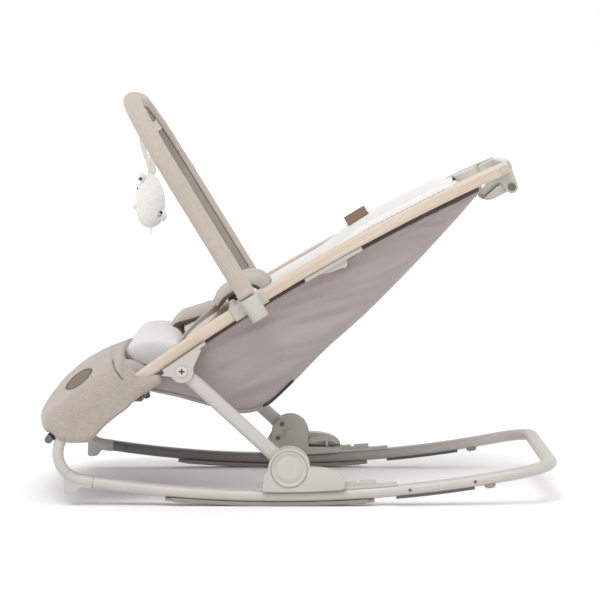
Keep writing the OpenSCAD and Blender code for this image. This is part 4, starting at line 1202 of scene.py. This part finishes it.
dots = bmesh.new()
for sign in (-1, 1):
    for offset, size, tilt in (((-0.0128, 0.0138, 0.0330), (0.0025, 0.0012, 0.0023), 0),
                               ((-0.0182, 0.0062, 0.0190), (0.0012, 0.0030, 0.0015), 0),
                               ((0.0168, 0.0158, -0.0158), (0.0023, 0.0012, 0.0023), 0),
                               ((0.0149, 0.0170, -0.0205), (0.0036, 0.0012, 0.0006), -20)):
        ball(dots, toy_middle + Vector((offset[0], sign * offset[1], offset[2])), size, turn=radians(tilt),
             segments=16, rings=10)
dark_thread = cloth("dark_thread", (0.02, 0.017, 0.015), (0.05, 0.042, 0.036), 0.0006, 0.5, 0.0002,
                    roughness=0.6)
to_piece(dots, "toy_stitching", dark_thread, "hanging_toy")


def from_pin(*points):
    """Places round the eyelet's pin, from millimetres."""
    return [pin + Vector(p) * 0.001 for p in points]


def ribbon_piece(name, points, width, thick, material, body, count, turn=None):
    """A flat ribbon along a line of points, lying across the seat or turned about its line by turn(u)."""
    route = through(points)
    tape = bmesh.new()
    bmesh.ops.create_grid(tape, x_segments=count, y_segments=4, size=0.5)
    for vert in tape.verts:
        u, w = vert.co.x + 0.5, vert.co.y
        spot, way = along(route, u)
        across = Vector((0, 1, 0))
        if turn:
            across = Matrix.Rotation(turn(u), 3, way) @ across
        vert.co = spot + across * w * width
    ribbon = to_piece(tape, name, material, body)
    give_wall(ribbon, thick, 0)
    return ribbon


ribbon_cloth = cloth("pale_ribbon", (0.62, 0.585, 0.53), (0.80, 0.76, 0.70), 0.0008, 0.4, 0.00015,
                     roughness=0.75)
ribbon_places = from_pin((8.0, 1, -87), (7.2, 1, -78), (1.6, 1.4, -60), (-3.6, 1.8, -41), (-4.2, 1, -22),
                         (-3.4, 0, -8), (-2.3, 0, -1), (0, 0, 2.3), (2.3, 0, -1), (3.0, 0, -8),
                         (5.0, -1, -22), (7.0, -1.8, -41), (10.0, -1.4, -60), (12.8, -1, -78),
                         (12.6, -1, -87))
toy_ribbon = ribbon_piece("toy_ribbon", ribbon_places, 0.0068, 0.0006, ribbon_cloth, "hanging_toy", 130,
                          turn=lambda u: 1.25 * ease(abs(u - 0.5), 0.08, 0.24))
tail = bmesh.new()
rod(tail, toy_middle + Vector((0.0022, 0, -0.0440)), Matrix.Identity(4), 0.0007, 0.011, 12, top_radius=0.0009)
to_piece(tail, "toy_tail", ribbon_cloth, "hanging_toy")

eyelet = bmesh.new()
rod(eyelet, pin, Matrix.Rotation(radians(90), 4, "X"), 0.0013, 0.016, 24)
to_piece(eyelet, "eyelet_rod", moulding, "bar")
for side, sign in sides:
    tab_places = from_pin((0, sign * 7.5, -1.6), (-1.8, sign * 7.5, 0.3), (-3.8, sign * 7.5, 5.2),
                          (-6.0, sign * 7.5, 9.5), (-8.2, sign * 7.5, 12.2))
    ribbon_piece("eyelet_tab_" + side, tab_places, 0.0020, 0.0012, ribbon_cloth, "bar", 20)
skin_strip("sleeve_label", 0.664, 0.6930, 0.055, 0.0014, ribbon_cloth, 16, middle=0.06)

# ---- Studio ----
# A plain pale floor under soft light from above and in front, with an even white surround.

floor_mesh = bmesh.new()
bmesh.ops.create_grid(floor_mesh, x_segments=1, y_segments=1, size=40.0)
floor_paint, tree, shader = finish("pale_floor", 0.9)
place = add(tree, "TexCoord").outputs["Object"]
mottle = grain(tree, place, 3.0)
tree.links.new(blend_colours(tree, mottle, (0.90, 0.90, 0.90), (0.92, 0.92, 0.92)),
               shader.inputs["Base Color"])
floor = to_piece(floor_mesh, "floor", floor_paint)

world = bpy.data.worlds.new("surround")
bpy.context.scene.world = world
world.use_nodes = True
world.node_tree.nodes["Background"].inputs["Color"].default_value = (1.0, 1.0, 1.0, 1)
world.node_tree.nodes["Background"].inputs["Strength"].default_value = 1.0
softbox = bpy.data.lights.new("softbox", "SUN")
softbox.energy = 1.25
softbox.angle = radians(32)
lamp = in_scene("softbox", softbox)
lamp.rotation_euler = (-Vector((-0.35, -1.15, 1.9))).to_track_quat("-Z", "Y").to_euler()

lens = bpy.data.cameras.new("camera")
lens.lens = 156.54
lens.sensor_width = 36.0
camera = in_scene("camera", lens)
camera.location = (0.007, -3.810, 0.5476)
camera.rotation_euler = (radians(90 - 4.12), 0, 0)
bpy.context.scene.camera = camera
bpy.context.scene.view_settings.view_transform = "Standard"
